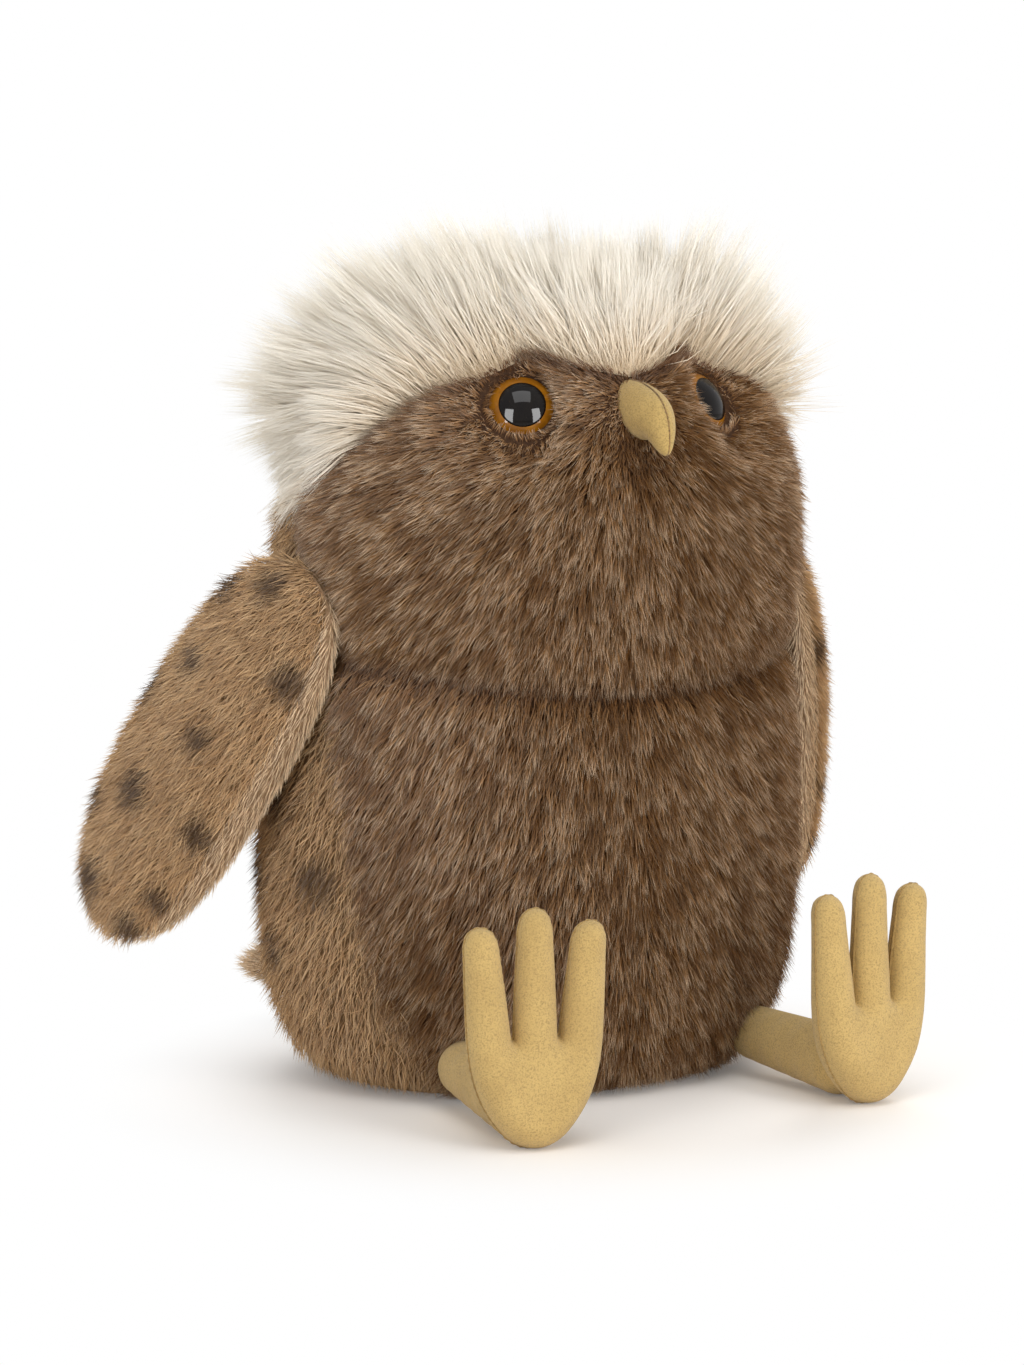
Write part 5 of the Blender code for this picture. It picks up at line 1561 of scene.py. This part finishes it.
@dataclass
class Foot:
    """A leg and its foot: a plump suede palm with three upright toes and an edge seam."""

    side: Side
    finishes: dict
    hip: tuple = (0.0430, -0.0435, 0.0105)
    ankle: tuple = (0.0468, -0.0755, 0.0088)
    hip_radius: float = 0.0070
    ankle_radius: float = 0.0085
    splay: float = 7.7
    reach: float = 0.0105
    root_height: float = 0.0265
    root_spread: float = 0.0118
    tip_spread: float = 0.0142
    toe_half: float = 0.0054
    tops: tuple = (0.0540, 0.0578, 0.0540)
    half_thickness: float = 0.0066
    edge_reach: float = 0.0056
    toe_share: float = 0.68
    wall: float = 0.0012
    core_gap: float = 0.00005
    seam_radius: float = 0.00034
    seam_swell: float = 0.35
    stitch: float = 0.0011
    seam_points: int = 420
    crease_depth: float = 0.018
    crease_rate: float = 900
    palm_widths: tuple = (
        (0.0, 0.0), (0.08, 0.36), (0.21, 0.56), (0.47, 0.81), (0.76, 0.95), (1.0, 1.0),
    )
    toe_widths: tuple = (
        (0.0, 1.0), (0.35, 0.94), (0.70, 0.83), (0.88, 0.74), (0.96, 0.52), (1.0, 0.0),
    )

    def axes(self) -> tuple[np.ndarray, np.ndarray, np.ndarray]:
        """Give the directions across the foot, up it and to its front."""
        splay = math.radians(self.side.value * self.splay)
        across = np.array([math.cos(splay), math.sin(splay), 0])
        return across, np.array([0, 0, 1.0]), np.array([math.sin(splay), -math.cos(splay), 0])

    def plane(self) -> list[np.ndarray]:
        """Lay the palm and three toes flat: width shares times a column share, heights by rows."""
        rows = np.sin(np.linspace(0, math.pi / 2, 34))[:, None]
        columns = np.sin(np.linspace(-math.pi / 2, math.pi / 2, 17))[None]
        girth = rounded(self.toe_widths, rows[:, 0])[:, None] * self.toe_half
        toes = []
        for toe, top in zip((-1, 0, 1), self.tops):
            middle = toe * (self.root_spread + (self.tip_spread - self.root_spread) * rows)
            height = self.root_height + (top - self.root_height) * rows
            across = middle + girth * columns
            toes.append(np.stack([across, np.broadcast_to(height, across.shape)], -1))
        root = np.concatenate([toe[0] for toe in toes])
        climb = (1 - np.cos(np.linspace(0, math.pi / 2, 30)))[:, None]
        width = rounded(self.palm_widths, climb[:, 0])[:, None] * root[:, 0]
        height = np.broadcast_to(self.root_height * climb, width.shape)
        return [np.stack([width, height], -1)] + toes

    def outline(self, grids: list[np.ndarray]) -> np.ndarray:
        """List the points round the foot's edge, from its lowest point and back."""
        palm, *toes = grids
        parts = [palm[:, -1]]
        for toe in toes[::-1]:
            parts += [toe[:, -1], toe[::-1, 0]]
        return np.concatenate(parts + [palm[::-1, 0]])

    def thickness(self, grid: np.ndarray, outline: np.ndarray) -> np.ndarray:
        """Give half the foot's thickness: a round edge that rises away from the outline."""
        start, end = outline[:-1], outline[1:]
        run = end - start
        length = np.maximum((run**2).sum(-1), 1e-16)
        away = grid[..., None, :] - start
        share = np.clip((away * run).sum(-1) / length, 0, 1)
        distance = np.linalg.norm(away - share[..., None] * run, axis=-1).min(-1)
        climb = np.clip(grid[..., 1] / self.root_height, 0, 2)
        thin = 1 - (1 - self.toe_share) * np.clip(climb - 0.5, 0, 1)
        depth = np.clip(distance / self.edge_reach, 0, 1)
        return self.half_thickness * thin * np.sqrt(1 - (1 - depth) ** 2)

    def placed(self, flat: np.ndarray, out: np.ndarray) -> np.ndarray:
        """Stand flat points up in the frame, moved out along the foot's front direction."""
        across, up, front = self.axes()
        base = np.array([self.side.value * self.ankle[0], self.ankle[1], 0]) + front * self.reach
        return base + flat[..., :1] * across + flat[..., 1:] * up + out[..., None] * front

    def build(self) -> None:
        """Build the foot, its edge seam and the leg."""
        word = self.side.word
        grids = self.plane()
        outline = self.outline(grids)
        for layer, way in (("front", 1), ("back", -1)):
            pieces = []
            for grid in grids:
                thick = self.thickness(grid, outline)
                outer = self.placed(grid, way * (thick + SUEDE_GAP))
                inner = self.placed(grid, way * (np.maximum(thick - self.wall, 0) + self.core_gap))
                pieces.append((outer, inner))
            piece = self.joined(f"foot_{layer}_suede_{word}", pieces)
            node = f"foot_{layer}_{word}"
            declare(piece, f"foot_{word}", node)
        self.build_seam(outline)
        self.build_leg()

    def joined(self, name: str, pairs: list[tuple[np.ndarray, np.ndarray]]) -> bpy.types.Object:
        """Join the palm and toes of one face into a single closed skin.

        Args:
            name: Name of the piece.
            pairs: Outer and inner grids of the palm and each toe.

        Returns:
            The skin, its open borders joined from outer to inner.
        """
        work = bmesh.new()
        for layer in range(2):
            for pair in pairs:
                grid = pair[layer]
                verts = [work.verts.new(p) for p in grid.reshape(-1, 3).tolist()]
                rows, columns = grid.shape[:2]
                place = np.arange(rows * columns).reshape(rows, columns)
                for cell in quads(place).tolist():
                    work.faces.new([verts[k] for k in cell])
        bmesh.ops.remove_doubles(work, verts=work.verts, dist=1e-5)
        bmesh.ops.dissolve_degenerate(work, edges=work.edges, dist=1e-5)
        loose = [e for e in work.edges if e.is_boundary]
        bmesh.ops.bridge_loops(work, edges=loose)
        bmesh.ops.recalc_face_normals(work, faces=work.faces)
        mesh = bpy.data.meshes.new(name)
        work.to_mesh(mesh)
        work.free()
        mesh.shade_smooth()
        return new_object(name, mesh, self.finishes["foot_suede"])

    def build_seam(self, outline: np.ndarray) -> None:
        """Build the seam round the foot's edge as a thin welt of thread and folded edge."""
        run = np.concatenate([[0], np.cumsum(np.linalg.norm(np.diff(outline, axis=0), axis=1))])
        keep = np.concatenate([[True], np.diff(run) > 1e-7])
        fine = np.linspace(0, run[-1], self.seam_points)
        path = np.stack([np.interp(fine, run[keep], outline[keep, k]) for k in range(2)], -1)
        for _ in range(3):
            path[1:-1] = (path[:-2] + 2 * path[1:-1] + path[2:]) / 4
        placed = self.placed(path, np.zeros(len(path)))
        radius = self.seam_radius * (1 + self.seam_swell * np.sin(fine / self.stitch * math.pi))
        seam = tube(f"foot_seam_{self.side.word}", placed, radius, self.finishes["seam_yellow"],
                    around=6, up=tuple(self.axes()[2]))
        declare(seam, f"foot_{self.side.word}")

    def build_leg(self) -> None:
        """Build the leg: a tapering round sleeve with soft folds and a round end at each joint."""
        mirror = np.array([self.side.value, 1, 1])
        hip, ankle = np.array(self.hip) * mirror, np.array(self.ankle) * mirror
        length = np.linalg.norm(ankle - hip)
        axis = (ankle - hip) / length
        turn = np.linspace(0, 2 * math.pi, 49)[:-1]
        ring = ring_about(axis, turn)

        def sleeve(inset: float) -> np.ndarray:
            """Give the sleeve at a depth: radius by height with folds, between two round ends."""
            run = np.linspace(0, length, 30)
            radius = self.hip_radius + (self.ankle_radius - self.hip_radius) * run / length - inset
            crease = np.sin(run * self.crease_rate)[:, None] * np.cos(turn * 2 + 1)
            radius = radius[:, None] * (1 - self.crease_depth * crease)
            cap = np.linspace(0.08, math.pi / 2 - 0.02, 12)
            heel, ball = (np.stack([np.sin(cap), np.cos(cap)]) * (size - inset)
                          for size in (self.hip_radius, self.ankle_radius))
            height = np.concatenate([-heel[0, ::-1], run, length + ball[0]])
            ends = (np.broadcast_to(end[:, None], (len(cap), len(turn)))
                    for end in (heel[1, ::-1], ball[1]))
            wide = np.concatenate([next(ends), radius, next(ends)])
            return hip + height[:, None, None] * axis + wide[..., None] * ring

        word = self.side.word
        suede = self.finishes["foot_suede"]
        leg = shell(f"leg_suede_{word}", sleeve(0), sleeve(SUEDE_SKIN), suede, wrap=True)
        declare(leg, f"leg_{word}", f"leg_sleeve_{word}")


@dataclass(frozen=True)
class SoftBox:
    """A lamp behind a cloth front: the lamp lights, and the front shows in glossy plastic alone."""

    name: str
    azimuth: float
    elevation: float
    distance: float
    wide: float
    high: float
    power: float
    front: float

    def build(self, centre: np.ndarray) -> None:
        """Stand the box round a centre: place = centre + distance along its azimuth and elevation.

        Args:
            centre: Point at which the box looks.
        """
        a, e = math.radians(self.azimuth), math.radians(self.elevation)
        away = np.array([math.sin(a) * math.cos(e), -math.cos(a) * math.cos(e), math.sin(e)])
        place = Vector(centre + self.distance * away)
        turn = Vector(-away).to_track_quat("-Z", "Y")
        lamp = bpy.data.lights.new(self.name, "AREA")
        lamp.shape, lamp.energy = "RECTANGLE", self.power
        lamp.size, lamp.size_y = self.wide, self.high
        holder = bpy.data.objects.new(self.name, lamp)
        holder.location = place
        holder.rotation_euler = turn.to_euler()
        holder.visible_glossy = False
        bpy.context.collection.objects.link(holder)
        glow = bpy.data.materials.new(self.name + "_front")
        glow.use_nodes = True
        tree = glow.node_tree
        tree.nodes.clear()
        light = tree.nodes.new("ShaderNodeEmission")
        light.inputs["Strength"].default_value = self.front
        output = tree.nodes.new("ShaderNodeOutputMaterial")
        tree.links.new(light.outputs[0], output.inputs["Surface"])
        signs = ((-1, -1), (1, -1), (1, 1), (-1, 1))
        corners = [(x * self.wide / 2, y * self.high / 2, 0) for x, y in signs]
        mesh = bpy.data.meshes.new(self.name + "_front")
        mesh.from_pydata([place + turn @ Vector(c) for c in corners], [], [(0, 1, 2, 3)])
        card = new_object(self.name + "_front", mesh, glow)
        card.visible_camera = card.visible_diffuse = card.visible_shadow = False
        card.visible_transmission = False


@dataclass
class Studio:
    """A white sweep, soft lamps and the camera at the photograph's angle."""

    right: tuple = (0.866, -0.5, 0.0)
    back: tuple = (-0.4963, -0.8596, 0.1219)
    target: tuple = (-0.00554, -0.0013, 0.100)
    distance: float = 1.05
    lens: float = 107.17
    world: float = 0.57
    centre: tuple = (0.0, -0.03, 0.15)
    shade_centre: tuple = (0.0, -0.035, 0.0)
    shade_reach: tuple = (0.06, 0.135)
    shade_share: float = 0.92
    floor_half: float = 4.0
    sky_tint: tuple = (1.0, 0.985, 0.965, 1)
    floor_tint: tuple = (1.0, 0.965, 0.925, 1)
    lamps: tuple = (
        SoftBox("left_box", -60.0, 10.0, 1.2, 0.46, 0.74, 2.3, 26.0),
        SoftBox("right_box", 14.0, 10.5, 1.2, 0.46, 0.74, 5.6, 26.0),
        SoftBox("overhead_box", -22.0, 64.0, 1.2, 0.85, 0.70, 4.6, 6.5),
        SoftBox("rear_box", 140.0, 42.0, 1.6, 1.20, 0.90, 12.0, 1.5),
    )

    def build(self) -> None:
        """Build camera, lamps, world and floor."""
        self.camera()
        for lamp in self.lamps:
            lamp.build(np.array(self.centre))
        self.sky()
        self.floor()
        bpy.context.scene.view_settings.view_transform = "Standard"

    def camera(self) -> None:
        """Place the camera on its axes."""
        back = unit(np.array(self.back))
        right = unit(np.array(self.right))
        up = np.cross(back, right)
        made = bpy.data.cameras.new("camera")
        made.lens, made.sensor_width, made.sensor_fit = self.lens, 36.0, "AUTO"
        made.clip_start, made.clip_end = 0.01, 20
        holder = bpy.data.objects.new("camera", made)
        place = np.array(self.target) + self.distance * back
        turn = Matrix(np.stack([right, up, back], 1).tolist()).to_4x4()
        holder.matrix_world = Matrix.Translation(place.tolist()) @ turn
        bpy.context.collection.objects.link(holder)
        bpy.context.scene.camera = holder

    def sky(self) -> None:
        """Light the world evenly, and show it white to the camera and in gloss."""
        world = bpy.data.worlds.new("studio")
        world.use_nodes = True
        bpy.context.scene.world = world
        tree = world.node_tree
        plain = next(n for n in tree.nodes if n.type == "BACKGROUND")
        plain.inputs["Color"].default_value = self.sky_tint
        plain.inputs["Strength"].default_value = self.world
        white = tree.nodes.new("ShaderNodeBackground")
        white.inputs["Color"].default_value = (1, 1, 1, 1)
        white.inputs["Strength"].default_value = 1.0
        path = tree.nodes.new("ShaderNodeLightPath")
        seen = tree.nodes.new("ShaderNodeMath")
        seen.operation = "MAXIMUM"
        tree.links.new(path.outputs["Is Camera Ray"], seen.inputs[0])
        both = tree.nodes.new("ShaderNodeMath")
        both.operation = "MAXIMUM"
        tree.links.new(path.outputs["Is Glossy Ray"], both.inputs[0])
        tree.links.new(path.outputs["Is Transmission Ray"], both.inputs[1])
        tree.links.new(both.outputs[0], seen.inputs[1])
        mix = tree.nodes.new("ShaderNodeMixShader")
        tree.links.new(seen.outputs[0], mix.inputs[0])
        tree.links.new(plain.outputs[0], mix.inputs[1])
        tree.links.new(white.outputs[0], mix.inputs[2])
        out = next(n for n in tree.nodes if n.type == "OUTPUT_WORLD")
        tree.links.new(mix.outputs[0], out.inputs["Surface"])

    def floor(self) -> None:
        """Lay a pale floor that keeps the shadow near the owl and turns white further out."""
        made = Nodes("floor")
        place = made.place()
        shifted = made.add("VectorMath", {0: place, 1: self.shade_centre}, operation="SUBTRACT")
        shifted = shifted.outputs[0]
        away = made.add("VectorMath", {0: shifted}, operation="LENGTH").outputs["Value"]
        near = made.level(away, *self.shade_reach, self.shade_share, 0.0)
        camera = made.add("LightPath").outputs["Is Camera Ray"]
        glow = made.add("Emission", {"Color": (1, 1, 1, 1), "Strength": 1.0}).outputs[0]
        made.set(Roughness=0.9, Base_Color=self.floor_tint, Specular_IOR_Level=0.1)
        far = made.maths("MULTIPLY", made.maths("SUBTRACT", 1.0, near), camera)
        mix = made.add("MixShader", {0: far, 1: made.shader.outputs[0], 2: glow})
        out = next(n for n in made.tree.nodes if n.type == "OUTPUT_MATERIAL")
        made.tree.links.new(mix.outputs[0], out.inputs["Surface"])
        mesh = bpy.data.meshes.new("floor")
        size = self.floor_half
        corners = [(-size, -size, 0), (size, -size, 0), (size, size, 0), (-size, size, 0)]
        mesh.from_pydata(corners, [], [(0, 1, 2, 3)])
        new_object("floor", mesh, made.material)


def make_finishes() -> dict:
    """Build every finish by name.

    Returns:
        Materials by the names that the classes use.
    """
    spot = (0.064, 0.029, 0.009)
    rows = [
        # Mottled fur's mark colour darkens the brow and panel edges, and is painted shade in the
        # neck fold.
        FurFinish("mottled_fur", (0.13, 0.046, 0.008), (0.310, 0.168, 0.066), (0.76, 0.60, 0.43),
                  (0.135, 0.054, 0.009), (0.088, 0.032, 0.006), vary=(0.66, 1.26)),
        FurFinish("spotted_fur", (0.34, 0.19, 0.085), (0.53, 0.34, 0.165), (0.66, 0.465, 0.27),
                  (0.33, 0.172, 0.064), spot, patch_share=0.55, patch=95.0),
        FurFinish("beige_fur", (0.52, 0.36, 0.21), (0.71, 0.53, 0.345), (0.83, 0.67, 0.47),
                  (0.58, 0.41, 0.24), spot, patch_share=0.3),
        FurFinish("white_pile", (0.86, 0.71, 0.50), (0.845, 0.795, 0.705), (0.86, 0.835, 0.775),
                  (0.82, 0.755, 0.64), (0.50, 0.33, 0.17), patch_share=0.35, vary=(0.96, 1.04)),
        ClothFinish("mottled_fur_backing", (0.045, 0.020, 0.008), (0.080, 0.038, 0.015)),
        ClothFinish("spotted_fur_backing", (0.14, 0.08, 0.035), (0.22, 0.13, 0.06)),
        ClothFinish("beige_fur_backing", (0.24, 0.15, 0.08), (0.34, 0.22, 0.13)),
        ClothFinish("white_pile_backing", (0.50, 0.38, 0.25), (0.66, 0.54, 0.38)),
        SuedeFinish("foot_suede", (0.590, 0.408, 0.150), (0.520, 0.354, 0.127)),
        SuedeFinish("beak_suede", (0.510, 0.350, 0.119), (0.445, 0.297, 0.096)),
        SuedeFinish("seam_yellow", (0.46, 0.30, 0.10), (0.34, 0.21, 0.065), 2600.0),
        SuedeFinish("seam_dark", (0.36, 0.22, 0.075), (0.09, 0.045, 0.018), 2200.0),
        GlossFinish("amber_plastic", (0.31, 0.120, 0.007), (0.21, 0.075, 0.004), gloss=0.22),
        GlossFinish("black_plastic", (0.004, 0.003, 0.003), (0.007, 0.005, 0.004), gloss=0.16),
        FibreFinish("filling", (0.80, 0.79, 0.77), (0.62, 0.61, 0.59)),
        FibreFinish("bag_cloth", (0.62, 0.60, 0.55), (0.45, 0.43, 0.39), 800.0),
        FibreFinish("white_plastic", (0.78, 0.78, 0.76), (0.70, 0.70, 0.68), 900.0, 0.35),
    ]
    return {row.name: row.build() for row in rows}


def dress_nodes(finishes: dict) -> None:
    """Give the CAD washers, bags and filling their procedural materials.

    Args:
        finishes: Materials by name.
    """
    slots = {"washer": "white_plastic", "bag": "bag_cloth", "filling": "filling"}
    for name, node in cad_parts.items():
        for word, finish in slots.items():
            if word in name:
                for place in node.material_slots:
                    place.material = finishes[finish]


def main() -> None:
    """Build the owl piece by piece, then its studio."""
    logging.basicConfig(level=logging.INFO)
    finishes = make_finishes()
    form = TorsoForm()
    Studio().build()
    Torso(form, finishes).build()
    for side in Side:
        Eye(form, side, finishes).build()
        Wing(form, side, finishes).build()
        Foot(side, finishes).build()
    Beak(form, finishes).build()
    Tail(form, finishes).build()
    dress_nodes(finishes)


if __name__ == "__main__":
    main()
